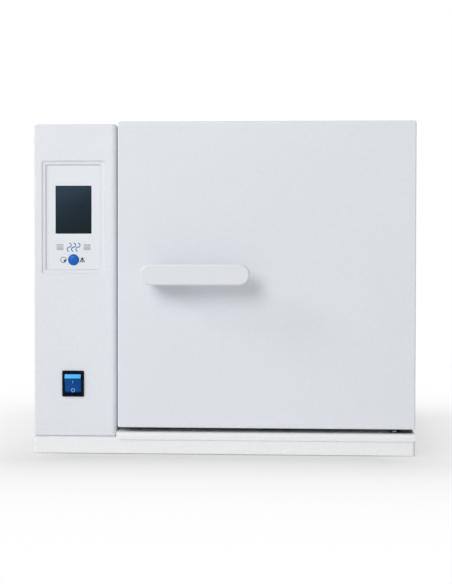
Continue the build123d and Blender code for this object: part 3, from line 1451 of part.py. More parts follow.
lower_plate_x = (hinge_x - hinge_plate_inner, hinge_x + hinge_plate_outer)
lower_plate_y = (hinge_y - hinge_plate_front, frame_face_y)
hinge_screw_places = [
    (lower_plate_x[0] + hinge_screw_inset, y)
    for y in (lower_plate_y[0] + hinge_screw_inset, lower_plate_y[1] - hinge_screw_inset)
]
with BuildPart() as lower_hinge_bracket:
    with BuildSketch(Plane.XY.offset(sill_top_z)) as plate_profile:
        with Locations((sum(lower_plate_x) / 2, sum(lower_plate_y) / 2)):
            Rectangle(lower_plate_x[1] - lower_plate_x[0], lower_plate_y[1] - lower_plate_y[0])
        fillet(plate_profile.vertices().group_by(Axis.Y)[0], hinge_plate_corner)
        with Locations(hinge_place):
            Circle(hinge_pin_diameter / 2 + shaft_gap, mode=Mode.SUBTRACT)
        with Locations(*hinge_screw_places):
            Circle(hinge_screw_diameter / 2 + screw_gap, mode=Mode.SUBTRACT)
    extrude(amount=hinge_plate)
lower_hinge_bracket.part.label = "lower_hinge_bracket"
export_step(lower_hinge_bracket.part, "parts/lower_hinge_bracket.step")

with BuildPart() as upper_hinge_bracket:
    with BuildSketch(Plane.XY.offset(hinge_arm_z)):
        with Locations(hinge_place):
            Circle(hinge_arm_radius)
        with Locations((hinge_x, (hinge_y + frame_back_y) / 2)):
            Rectangle(2 * hinge_arm_radius, frame_back_y - hinge_y)
        with Locations(hinge_place):
            Circle(hinge_pin_diameter / 2 + shaft_gap, mode=Mode.SUBTRACT)
    extrude(amount=hinge_plate)
    block(
        (hinge_x - hinge_arm_radius, hinge_x + hinge_arm_radius),
        (frame_back_y, frame_back_y + hinge_plate),
        (hinge_arm_top_z - hinge_tab_height, hinge_arm_top_z),
    )
upper_hinge_bracket.part.label = "upper_hinge_bracket"
export_step(upper_hinge_bracket.part, "parts/upper_hinge_bracket.step")

with BuildPart() as hinge_screws:
    for place in hinge_screw_places:
        head_z = (hinge_plate_top_z, hinge_plate_top_z + hinge_screw_head_height)
        rod("z", head_z, place, hinge_screw_head_diameter / 2)
    fillet(hinge_screws.faces().group_by(Axis.Z)[-1].edges(), hinge_screw_head_height / 2)
    for place in hinge_screw_places:
        rod("z", (sill_top_z, hinge_plate_top_z), place, hinge_screw_diameter / 2)
hinge_screws.part.label = "hinge_screws"
export_step(hinge_screws.part, "parts/hinge_screws.step")

# ------------------------------------------------------ Handle and latch

spindle_place = (spindle_x, spindle_z)
spindle_bore = spindle_diameter / 2 + shaft_gap
with BuildPart() as handle_lever:
    with BuildSketch(front_plane(front_y)):
        with Locations((spindle_x + lever_span / 2, spindle_z)):
            SlotCenterToCenter(lever_span, lever_height)
    extrude(amount=-lever_thickness)
    fillet(handle_lever.faces().filter_by(Axis.Y).edges(), lever_rounding)
    rod("y", (lever_back_y, lever_hub_end_y), spindle_place, lever_hub_diameter / 2)
    rod("y", (spindle_front_y, lever_hub_end_y), spindle_place, spindle_bore, Mode.SUBTRACT)
handle_lever.part.label = "handle_lever"
export_step(handle_lever.part, "parts/handle_lever.step")

with BuildPart() as handle_spindle:
    rod("y", (spindle_front_y, spindle_end_y), spindle_place, spindle_diameter / 2)
    with BuildSketch(front_plane(latch_arm_back_y)):
        with Locations(spindle_place):
            RegularPolygon(latch_nut_flats / 2, latch_nut_sides, major_radius=False)
    extrude(amount=-latch_nut_height)
handle_spindle.part.label = "handle_spindle"
export_step(handle_spindle.part, "parts/handle_spindle.step")

with BuildPart() as spindle_bush:
    rod("y", (spindle_bush_front_y, door_face_y), spindle_place, spindle_bush_collar_diameter / 2)
    rod("y", (door_face_y, door_back_y), spindle_place, spindle_bush_diameter / 2)
    rod("y", (spindle_bush_front_y, door_back_y), spindle_place, spindle_bore, Mode.SUBTRACT)
spindle_bush.part.label = "spindle_bush"
export_step(spindle_bush.part, "parts/spindle_bush.step")

with BuildPart() as latch_arm:
    with BuildSketch(front_plane(latch_arm_y)):
        with Locations(spindle_place):
            Circle(latch_hub_diameter / 2)
        with Locations((spindle_x, spindle_z - latch_arm_span / 2)):
            SlotCenterToCenter(latch_arm_span, latch_arm_width, rotation=quarter_turn)
        with Locations(spindle_place):
            Circle(spindle_bore, mode=Mode.SUBTRACT)
    extrude(amount=-latch_arm_sheet)
latch_arm.part.label = "latch_arm"
export_step(latch_arm.part, "parts/latch_arm.step")

keeper_x = (keeper_left_x, keeper_right_x)
keeper_z = (keeper_bottom_z, keeper_top_z)
with BuildPart() as latch_keeper:
    block(
        (keeper_x[0] - keeper_sheet, keeper_x[1] + keeper_sheet),
        (frame_back_y, keeper_back_y),
        (keeper_z[0] - keeper_sheet, keeper_z[1] + keeper_sheet),
    )
    block(keeper_x, (frame_back_y, keeper_back_y - keeper_sheet), keeper_z, Mode.SUBTRACT)
latch_keeper.part.label = "latch_keeper"
export_step(latch_keeper.part, "parts/latch_keeper.step")
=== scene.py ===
import logging
import math
from dataclasses import dataclass
from enum import Enum
from typing import ClassVar, Iterable, Sequence, Union

import bmesh
import bpy
from mathutils import Euler, Matrix, Vector


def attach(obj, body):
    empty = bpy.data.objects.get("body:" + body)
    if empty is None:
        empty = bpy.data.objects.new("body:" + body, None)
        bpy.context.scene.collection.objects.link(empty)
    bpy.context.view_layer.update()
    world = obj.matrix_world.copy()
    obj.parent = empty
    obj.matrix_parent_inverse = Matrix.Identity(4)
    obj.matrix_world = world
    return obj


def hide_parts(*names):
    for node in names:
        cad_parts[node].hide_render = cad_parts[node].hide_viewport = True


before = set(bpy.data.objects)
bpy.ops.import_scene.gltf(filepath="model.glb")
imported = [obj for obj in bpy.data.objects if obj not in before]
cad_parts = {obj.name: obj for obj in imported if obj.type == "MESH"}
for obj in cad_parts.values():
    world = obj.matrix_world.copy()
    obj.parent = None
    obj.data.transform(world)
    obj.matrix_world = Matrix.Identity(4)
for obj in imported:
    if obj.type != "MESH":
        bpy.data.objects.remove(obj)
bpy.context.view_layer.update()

log = logging.getLogger("sterilizer")

METRE = 1000.0  # millimetres
WHITE = (1.0, 1.0, 1.0, 1.0)
Colour = tuple[float, float, float]
Flat = tuple[float, float]
Point = tuple[float, float, float]
ScrewSize = tuple[float, float, float, float]  # the head's radius and height, the shank's radius and length
Value = Union["Wire", float, tuple]


def shift(x: float = 0.0, y: float = 0.0, z: float = 0.0) -> Matrix:
    """A move, in millimetres."""
    return Matrix.Translation((x, y, z))


def turn_z(degrees: float) -> Matrix:
    """A turn about Z."""
    return Matrix.Rotation(math.radians(degrees), 4, "Z")


def add_object(name: str, data: bpy.types.ID) -> bpy.types.Object:
    """A new object, linked to the scene."""
    made = bpy.data.objects.new(name, data)
    bpy.context.scene.collection.objects.link(made)
    return made


# ------------------------------------------------------------------ Names


class Body(Enum):
    """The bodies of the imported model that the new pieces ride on."""

    HOUSING = "housing"
    DOOR = "door"
    BUTTON = "button"
    ROCKER = "switch_rocker"


class Facing(Enum):
    """The side that a flat piece faces: the world directions of its own X, Y and Z."""

    FRONT = ((1, 0, 0), (0, 0, 1), (0, -1, 0))
    REAR = ((-1, 0, 0), (0, 0, 1), (0, 1, 0))
    LEFT = ((0, -1, 0), (0, 0, 1), (-1, 0, 0))
    RIGHT = ((0, 1, 0), (0, 0, 1), (1, 0, 0))
    UP = ((1, 0, 0), (0, 1, 0), (0, 0, 1))

    def at(self, x: float, y: float, z: float, turn: float = 0.0) -> Matrix:
        """A place on this side.

        Args:
            x, y, z: the place, in millimetres.
            turn: degrees about the side's own outward direction.

        Returns:
            The matrix from the piece's own millimetres to the object's.
        """
        return shift(x, y, z) @ Matrix(self.value).transposed().to_4x4() @ turn_z(turn)


class Grain(Enum):
    """The direction in which a metal is brushed, as a stretch of its pattern."""

    ALONG_X = (0.02, 1.0, 1.0)
    ALONG_Y = (1.0, 0.02, 1.0)
    ALONG_Z = (1.0, 1.0, 0.02)


# ----------------------------------------------------------- Shader graphs


@dataclass(frozen=True)
class Wire:
    """A node's output. Sums, differences and products of wires add Math nodes."""

    graph: "Graph"
    socket: bpy.types.NodeSocket

    def __add__(self, other: Value) -> "Wire":
        """This plus a value."""
        return self.graph.maths("ADD", self, other)

    def __radd__(self, other: Value) -> "Wire":
        """A value plus this."""
        return self.graph.maths("ADD", other, self)

    def __sub__(self, other: Value) -> "Wire":
        """This less a value."""
        return self.graph.maths("SUBTRACT", self, other)

    def __rsub__(self, other: Value) -> "Wire":
        """A value less this."""
        return self.graph.maths("SUBTRACT", other, self)

    def __mul__(self, other: Value) -> "Wire":
        """This times a value."""
        return self.graph.maths("MULTIPLY", self, other)

    def __rmul__(self, other: Value) -> "Wire":
        """A value times this."""
        return self.graph.maths("MULTIPLY", other, self)

    def swing(self, reach: float) -> "Wire":
        """This about its middle, a half, times a reach."""
        return (self - 0.5) * reach

    def above(self, edge: float, soft: float) -> "Wire":
        """A mask that rises from 0 to 1 over a soft band at an edge.

        Args:
            edge: the value at the middle of the band.
            soft: the width of the band.

        Returns:
            The mask, held between 0 and 1.
        """
        settings = {"interpolation_type": "SMOOTHSTEP"}
        inputs = {0: self, 1: edge - soft / 2, 2: edge + soft / 2}
        return self.graph.node("ShaderNodeMapRange", settings, inputs)


class Graph:
    """The nodes of a material or world, added by one method for any node and a few for the usual ones."""

    def __init__(self, owner: bpy.types.Material | bpy.types.World) -> None:
        """Starts with an empty tree."""
        self.owner = owner
        owner.use_nodes = True
        self.tree = owner.node_tree
        self.tree.nodes.clear()

    def node(self, kind: str, settings: dict | None = None, inputs: dict | None = None,
             output: int | str = 0) -> Wire:
        """Adds any node.

        Args:
            kind: the node's type.
            settings: its properties, and "stops" for a colour ramp's (place, colour) pairs.
            inputs: a number, colour or wire for each named or numbered socket.
            output: the socket that is returned.

        Returns:
            The node's output.
        """
        made = self.tree.nodes.new(kind)
        for name, value in (settings or {}).items():
            if name == "stops":
                self._set_stops(made.color_ramp, value)
            else:
                setattr(made, name, value)
        for key, value in (inputs or {}).items():
            if isinstance(value, Wire):
                self.tree.links.new(value.socket, made.inputs[key])
            else:
                made.inputs[key].default_value = value
        return Wire(self, made.outputs[output])

    @staticmethod
    def _set_stops(ramp: bpy.types.ColorRamp, stops: Sequence[tuple[float, Colour]]) -> None:
        """Sets a colour ramp's stops."""
        while len(ramp.elements) < len(stops):
            ramp.elements.new(0.5)
        for element, (place, colour) in zip(ramp.elements, stops):
            element.position = place
            element.color = (*colour, 1.0)

    def place(self, centre: Point = (0, 0, 0), turn: Point = (0, 0, 0), stretch: Point = (1, 1, 1)) -> Wire:
        """Object coordinates, in metres, about a centre.

        Args:
            centre: the pattern's centre, in millimetres.
            turn: the pattern's turn about X, Y and Z, in degrees.
            stretch: how much faster the pattern runs along each axis.

        Returns:
            The coordinates.
        """
        here = self.node("ShaderNodeTexCoord", output="Object")
        inputs = {
            "Vector": here,
            "Location": tuple(c / METRE for c in centre),
            "Rotation": tuple(math.radians(t) for t in turn),
            "Scale": tuple(1 / s for s in stretch),
        }
        return self.node("ShaderNodeMapping", {"vector_type": "TEXTURE"}, inputs)

    def axis(self, at: Wire, name: str) -> Wire:
        """One axis, X, Y or Z, of some coordinates."""
        return self.node("ShaderNodeSeparateXYZ", inputs={0: at}, output=name)

    def noise(self, at: Wire, size: float, detail: float = 2.0, rough: float = 0.5) -> Wire:
        """Soft noise whose blobs have a size in millimetres."""
        inputs = {"Vector": at, "Scale": METRE / size, "Detail": detail, "Roughness": rough}
        return self.node("ShaderNodeTexNoise", None, inputs)

    def cells(self, at: Wire, size: float, output: str = "Distance") -> Wire:
        """Cells of a size in millimetres."""
        return self.node("ShaderNodeTexVoronoi", None, {"Vector": at, "Scale": METRE / size}, output)

    def blend(self, share: Value, first: Value, second: Value) -> Wire:
        """A colour between two, by a share from 0 to 1."""
        def full(colour: Value) -> Value:
            """A colour with its alpha."""
            return colour if isinstance(colour, Wire) else (*colour, 1.0)

        settings = {"data_type": "RGBA", "clamp_factor": True}
        return self.node("ShaderNodeMix", settings, {0: share, 6: full(first), 7: full(second)}, 2)

    def maths(self, operation: str, *values: Value) -> Wire:
        """One Math node of an operation over its values."""
        return self.node("ShaderNodeMath", {"operation": operation}, dict(enumerate(values)))

    def vectors(self, operation: str, *values: Value, output: str = "Vector") -> Wire:
        """One Vector Math node of an operation over its values."""
        return self.node("ShaderNodeVectorMath", {"operation": operation}, dict(enumerate(values)), output)

    def ramp(self, share: Wire, *stops: tuple[float, Colour]) -> Wire:
        """A colour from a ramp of (place, colour) stops."""
        return self.node("ShaderNodeValToRGB", {"stops": stops}, {0: share})

    def relief(self, height: Wire, depth: float, strength: float = 1.0) -> Wire:
        """A bump of a depth in millimetres."""
        inputs = {"Height": height, "Distance": depth / METRE, "Strength": strength}
        return self.node("ShaderNodeBump", None, inputs)

    def close(self, sockets: dict[str, Value]) -> bpy.types.Material:
        """Ends the nodes in a Principled shader.

        Args:
            sockets: what each of the shader's sockets gets.

        Returns:
            The finished material.
        """
        full = {k: (*v, 1.0) if isinstance(v, tuple) and len(v) == 3 else v for k, v in sockets.items()}
        self.end(self.node("ShaderNodeBsdfPrincipled", None, full))
        return self.owner

    def end(self, shader: Wire, kind: str = "ShaderNodeOutputMaterial") -> None:
        """Joins a shader to an output node of a kind."""
        out = self.tree.nodes.new(kind)
        self.tree.links.new(shader.socket, out.inputs["Surface"])


def shade(colour: Colour, factor: float) -> Colour:
    """A colour made darker or lighter by a factor."""
    return tuple(min(1.0, c * factor) for c in colour)


# ---------------------------------------------------------------- Finishes


@dataclass(frozen=True)
class Finish:
    """A surface finish, drawn once as a material and then shared."""

    name: str
    slot: str
    tone: Colour

    def draw(self, graph: Graph) -> dict[str, Value]:
        """What the finish gives each of the shader's sockets."""
        raise NotImplementedError

    def between(self, graph: Graph, share: Value, low: float, high: float) -> Wire:
        """A colour between two shades of the tone, by a share from 0 to 1."""
        return graph.blend(share, shade(self.tone, low), shade(self.tone, high))

    def material(self) -> bpy.types.Material:
        """The finish as a material, made at its first use."""
        name = f"{self.name}_look"
        known = bpy.data.materials.get(name)
        if known:
            return known
        graph = Graph(bpy.data.materials.new(name))
        return graph.close(self.draw(graph))


@dataclass(frozen=True)
class PowderCoat(Finish):
    """Baked powder coat: a fine orange peel with a faint fleck."""

    roughness: float = 0.42
    peel: float = 1.5
    depth: float = 0.05
    fleck: float = 0.03
    cloud: float = 90.0  # the size of the slow drift in its tint

    def draw(self, graph: Graph) -> dict[str, Value]:
        """Peel from two sizes of noise, which also tints the coat."""
        at = graph.place()
        coarse = graph.noise(at, self.peel * 1.7, 1.0)
        fine = graph.noise(at, self.peel * 0.6, 2.0, 0.6)
        cloud = graph.noise(at, self.cloud, 1.0)
        grains = graph.cells(at, self.peel)
        height = coarse * 0.5 + fine * 0.3 + (1 - grains) * 0.4
        tint = fine.swing(1.6) + coarse.swing(1.2) + cloud.swing(0.5) + 0.5
        return {
            "Base Color": self.between(graph, tint, 1 - self.fleck, 1 + self.fleck),
            "Roughness": fine.swing(0.16) + self.roughness,
            "Specular IOR Level": 0.4,
            "Normal": graph.relief(height, self.depth),
        }


@dataclass(frozen=True)
class BrushedSheet(Finish):
    """Brushed sheet metal, with streaks along its grain and faint finger marks."""

    grain: Grain = Grain.ALONG_X
    roughness: float = 0.3
    streak: float = 0.14
    line: float = 0.8  # the width of the finest streaks
    band: float = 6.0
    finger: float = 45.0

    def draw(self, graph: Graph) -> dict[str, Value]:
        """Streaks from noise that is drawn out along the grain."""
        drawn = graph.place(stretch=self.grain.value)
        lines = graph.noise(drawn, self.line, 3.0, 0.65)
        bands = graph.noise(drawn, self.band, 2.0)
        smudge = graph.noise(graph.place(), self.finger, 3.0)
        share = lines.swing(2.2) + bands.swing(0.8) + 0.5
        rough = lines.swing(0.3) + smudge.swing(0.22) + self.roughness
        return {
            "Base Color": self.between(graph, share, 1 - self.streak, 1 + self.streak),
            "Metallic": 1.0,
            "Roughness": rough,
            "Normal": graph.relief(lines, 0.012, 0.6),
        }


@dataclass(frozen=True)
class ZincSheet(Finish):
    """Zinc-coated sheet, with crystals of several greys."""

    crystal: float = 9.0
    ragged: float = 3.0  # how far the crystals' borders stray
    waves_a_metre: float = 300.0
    roughness: float = 0.4

    def draw(self, graph: Graph) -> dict[str, Value]:
        """Crystals from cells whose grey and gloss differ."""
        at = graph.place()
        drift = graph.node("ShaderNodeTexNoise", None, {"Vector": at, "Scale": self.waves_a_metre}, "Color")
        bent = graph.vectors("ADD", at, graph.vectors("MULTIPLY", drift, (self.ragged / METRE,) * 3))
        face = graph.axis(graph.cells(bent, self.crystal, output="Color"), "X")
        dust = graph.noise(at, 2.0, 4.0, 0.6)
        return {
            "Base Color": self.between(graph, face * 0.8 + dust * 0.3, 0.84, 1.14),
            "Metallic": 1.0,
            "Roughness": face * 0.14 + dust * 0.12 + (self.roughness - 0.12),
            "Normal": graph.relief(dust, 0.01, 0.5),
        }


@dataclass(frozen=True)
class PolishedMetal(Finish):
    """Plated or turned metal, with fine tool marks and dull spots."""

    roughness: float = 0.22
    marks: float = 0.25

    def draw(self, graph: Graph) -> dict[str, Value]:
        """Marks a few hundredths of a millimetre deep."""
        at = graph.place()
        marks = graph.noise(at, self.marks, 2.0)
        spots = graph.noise(at, 3.0, 3.0, 0.6)
        return {
            "Base Color": self.between(graph, spots, 0.86, 1.12),
            "Metallic": 1.0,
            "Roughness": spots.swing(0.24) + self.roughness,
            "Normal": graph.relief(marks, 0.006, 0.5),
        }


@dataclass(frozen=True)
class HeatedMetal(Finish):
    """A heater's steel sheath, tinted straw and blue where it runs hot."""

    straw: Colour = (0.42, 0.3, 0.16)
    purple: Colour = (0.24, 0.16, 0.2)
    blue: Colour = (0.13, 0.16, 0.24)

    def draw(self, graph: Graph) -> dict[str, Value]:
        """Bands of oxide colour in slow noise."""
        at = graph.place()
        heat = graph.noise(at, 26.0, 3.0, 0.6)
        scale = graph.noise(at, 1.2, 3.0)
        oxide = graph.ramp(heat, (0.3, self.tone), (0.48, self.straw), (0.56, self.purple), (0.68, self.blue))
        return {
            "Base Color": graph.blend(scale * 0.5, oxide, shade(self.tone, 0.5)),
            "Metallic": 0.9,
            "Roughness": scale * 0.3 + 0.35,
            "Normal": graph.relief(scale, 0.03, 0.6),
        }


@dataclass(frozen=True)
class Moulded(Finish):
    """Moulded plastic with a spark-eroded grain."""

    roughness: float = 0.4
    grain: float = 0.5
    depth: float = 0.02
    variation: float = 0.06
    coat: float = 0.0
    sheen: float = 0.4

    def draw(self, graph: Graph) -> dict[str, Value]:
        """Grain in the bump and handling wear in the gloss."""
        at = graph.place()
        grain = graph.noise(at, self.grain, 2.0, 0.6)
        wear = graph.noise(at, 14.0, 3.0, 0.6)
        share = wear * 0.7 + grain * 0.3
        return {
            "Base Color": self.between(graph, share, 1 - self.variation, 1 + self.variation),
            "Roughness": wear.swing(0.2) + grain.swing(0.1) + self.roughness,
            "Specular IOR Level": self.sheen,
            "Coat Weight": self.coat,
            "Coat Roughness": 0.12,
            "Normal": graph.relief(grain, self.depth, 0.7),
        }


@dataclass(frozen=True)
class Rubber(Finish):
    """Soft moulded rubber or silicone with a bloom of dust."""

    roughness: float = 0.62

    def draw(self, graph: Graph) -> dict[str, Value]:
        """Dust in patches over a fine grain."""
        at = graph.place()
        dust = graph.noise(at, 8.0, 4.0, 0.65)
        grain = graph.noise(at, 0.6, 2.0)
        return {
            "Base Color": graph.blend(dust.above(0.62, 0.3) * 0.35, self.tone, shade(self.tone, 1.9)),
            "Roughness": dust * 0.2 + (self.roughness - 0.1),
            "Specular IOR Level": 0.35,
            "Normal": graph.relief(grain, 0.04, 0.6),
        }


@dataclass(frozen=True)
class SmokedGlass(Finish):
    """A dark display window, with a painted reflection that makes it bluer and paler towards its top left."""

    middle: Point = (-182.5, -153.0, 294.8)
    half_height: float = 29.0
    painted_glare_tone: Colour = (0.020, 0.042, 0.060)

    def draw(self, graph: Graph) -> dict[str, Value]:
        """A slow slope of colour: painted reflection towards the top left and painted shade towards the
        bottom right.
        """
        at = graph.place(self.middle)
        rise = graph.axis(at, "Z") * (METRE / self.half_height) * 0.5 + 0.5
        run = graph.axis(at, "X") * (METRE / self.half_height) * -0.22
        haze = graph.noise(at, 22.0, 2.0)
        share = rise + run + haze.swing(0.3)
        # Painted reflection and shade: the ramp runs from a darker shade at the bottom right to a paler,
        # bluer tone at the top left.
        slope = graph.ramp(share, (0.0, shade(self.tone, 0.55)), (0.5, self.tone), (1.0, self.painted_glare_tone))
        return {
            "Base Color": slope,
            "Roughness": haze * 0.06 + 0.05,
            "Specular IOR Level": 0.16,
        }


@dataclass(frozen=True)
class PrintedInk(Finish):
    """Screen-printed ink, a little uneven."""

    def draw(self, graph: Graph) -> dict[str, Value]:
        """Pinholes and a slow drift in the ink."""
        at = graph.place()
        holes = graph.noise(at, 0.5, 2.0)
        return {
            "Base Color": graph.blend(holes.above(0.66, 0.14) * 0.5, self.tone, shade(self.tone, 1.5)),
            "Roughness": holes * 0.2 + 0.4,
        }


@dataclass(frozen=True)
class SolderMask(Finish):
    """A circuit board's green mask over its copper traces."""

    middle: Point = (-182.5, -145.0, 285.4)
    trace_tone: Colour = (0.06, 0.27, 0.12)
    cells_a_metre: float = 170.0

    def draw(self, graph: Graph) -> dict[str, Value]:
        """Traces from the edges of small square cells."""
        at = graph.place(self.middle)
        inputs = {"Vector": at, "Scale": self.cells_a_metre}
        cell = graph.node("ShaderNodeTexVoronoi", {"distance": "CHEBYCHEV"}, inputs)
        trace = (cell * 6.0).above(3.1, 0.5)
        dust = graph.noise(at, 5.0, 3.0)
        return {
            "Base Color": graph.blend(trace * 0.8, self.tone, self.trace_tone),
            "Roughness": dust * 0.15 + 0.28,
            "Normal": graph.relief(trace, 0.05, 0.6),
        }


@dataclass(frozen=True)
class Wool(Finish):
    """Pressed mineral wool, all short fibres."""

    def draw(self, graph: Graph) -> dict[str, Value]:
        """Fibres from noise that is drawn out along two ways."""
        long = graph.noise(graph.place(turn=(20, 0, 30), stretch=(0.12, 1, 1)), 1.2, 3.0, 0.7)
        short = graph.noise(graph.place(turn=(0, 40, -20), stretch=(1, 0.12, 1)), 1.0, 3.0, 0.7)
        return {
            "Base Color": self.between(graph, long * 0.6 + short * 0.4, 0.6, 1.3),
            "Roughness": 0.95,
            "Normal": graph.relief(long + short, 0.5),
        }


CASING = PowderCoat("casing_powder_coat", "casing_enamel", (0.745, 0.766, 0.800))
# Painted light: a lighter copy of the casing's own enamel, which makes the plinth and the sill look brighter
# near the floor.
PLINTH_PAINTED_LIGHT = PowderCoat("plinth_coat_painted_light", "casing_enamel", (0.825, 0.832, 0.845))
DOOR_COAT = PowderCoat("door_powder_coat", "door_enamel", (0.735, 0.756, 0.800))
LEVER_COAT = PowderCoat("lever_coat", "handle_enamel", (0.745, 0.765, 0.795), roughness=0.22, depth=0.02,
                        fleck=0.012)
FASCIA_FILM = Moulded("fascia_film", "fascia_film", (0.76, 0.785, 0.82), roughness=0.45, grain=0.8,
                      depth=0.012, variation=0.012)
DISPLAY = SmokedGlass("smoked_display", "display_glass", (0.007, 0.018, 0.029))
BUTTON_BLUE = Moulded("button_blue", "button_blue", (0.002, 0.125, 0.550), roughness=0.3, grain=0.35,
                      depth=0.012, sheen=0.2)
ROCKER_BLUE = Moulded("rocker_blue", "rocker_blue", (0.002, 0.062, 0.270), roughness=0.25, grain=1.1,
                      depth=0.004, variation=0.45, sheen=0.12)
# Painted highlight: a much lighter copy of the rocker's blue, for its faces that point up.
ROCKER_PAINTED_HIGHLIGHT = Moulded("rocker_painted_highlight", "rocker_blue", (0.085, 0.500, 1.0), roughness=0.25, grain=0.3,
                     depth=0.004, variation=0.1, sheen=0.2)
MARK_PALE = PrintedInk("rocker_mark_ink", "rocker_blue", (0.26, 0.46, 0.74))
INK_DARK = PrintedInk("pictogram_ink", "fascia_film", (0.035, 0.037, 0.045))
INK_SLATE = PrintedInk("slate_ink", "fascia_film", (0.045, 0.190, 0.370))
INK_HAZE = PrintedInk("haze_ink", "fascia_film", (0.22, 0.27, 0.35))
SWITCH_BLACK = Moulded("switch_black", "switch_black", (0.003, 0.004, 0.006), roughness=0.4, sheen=0.08)
INLET_BLACK = Moulded("inlet_black", "switch_black", (0.022, 0.022, 0.025), roughness=0.38)
HINGE_BLACK = PowderCoat("hinge_black_paint", "hinge_black", (0.022, 0.022, 0.025), roughness=0.36, fleck=0.2)
STAINLESS_X = BrushedSheet("stainless_along_x", "chamber_stainless", (0.62, 0.62, 0.61))
STAINLESS_Y = BrushedSheet("stainless_along_y", "chamber_stainless", (0.63, 0.63, 0.62), Grain.ALONG_Y)
STAINLESS_Z = BrushedSheet("stainless_along_z", "chamber_stainless", (0.61, 0.61, 0.60), Grain.ALONG_Z)
SHELF_STEEL = BrushedSheet("shelf_stainless", "shelf_stainless", (0.64, 0.64, 0.63), Grain.ALONG_X, 0.26)
ZINC = ZincSheet("zinc_sheet", "zinc_sheet", (0.56, 0.57, 0.58))
BRIGHT_SCREW = PolishedMetal("bright_zinc_plate", "steel_fastener", (0.64, 0.65, 0.67))
TURNED = PolishedMetal("turned_steel", "turned_steel", (0.5, 0.5, 0.51), 0.3, 0.4)
DARK_BUSH = PolishedMetal("oiled_bronze", "bush_bronze", (0.07, 0.062, 0.055), 0.42, 0.3)
SHEATH = HeatedMetal("heater_sheath", "heater_sheath", (0.33, 0.3, 0.28))
BOARD = SolderMask("solder_mask", "board_green", (0.022, 0.13, 0.055))
MODULE_BLACK = Moulded("module_black", "module_black", (0.03, 0.03, 0.034), roughness=0.45)
GREY_MOULDING = Moulded("grey_moulding", "electric_grey", (0.3, 0.31, 0.32), roughness=0.5)
SUPPLY_CASE = BrushedSheet("supply_case", "supply_case", (0.58, 0.59, 0.6), Grain.ALONG_Z, 0.38, 0.06)
SINK = BrushedSheet("extruded_aluminium", "sink_aluminium", (0.5, 0.51, 0.52), Grain.ALONG_Z, 0.4, 0.08)
MOTOR_PAINT = PowderCoat("motor_paint", "motor_enamel", (0.09, 0.09, 0.1), roughness=0.45, fleck=0.15)
LABEL = Moulded("label_film", "casing_enamel", (0.62, 0.63, 0.64), roughness=0.3, depth=0.004, variation=0.02)
CERAMIC = Moulded("ceramic_bead", "heater_sheath", (0.62, 0.6, 0.55), roughness=0.5, grain=0.4)
CHIP_BLACK = Moulded("chip_black", "board_green", (0.02, 0.02, 0.022), roughness=0.5)
CAN_BLUE = Moulded("can_sleeve", "board_green", (0.02, 0.045, 0.13), roughness=0.3)
FOOT_RUBBER = Rubber("foot_rubber", "foot_rubber", (0.025, 0.025, 0.026))
GASKET = Rubber("gasket_silicone", "gasket_silicone", (0.6, 0.14, 0.085), 0.5)
WOOL = Wool("mineral_wool", "mineral_wool", (0.62, 0.56, 0.4))


# ------------------------------------------------------------------ Shapes


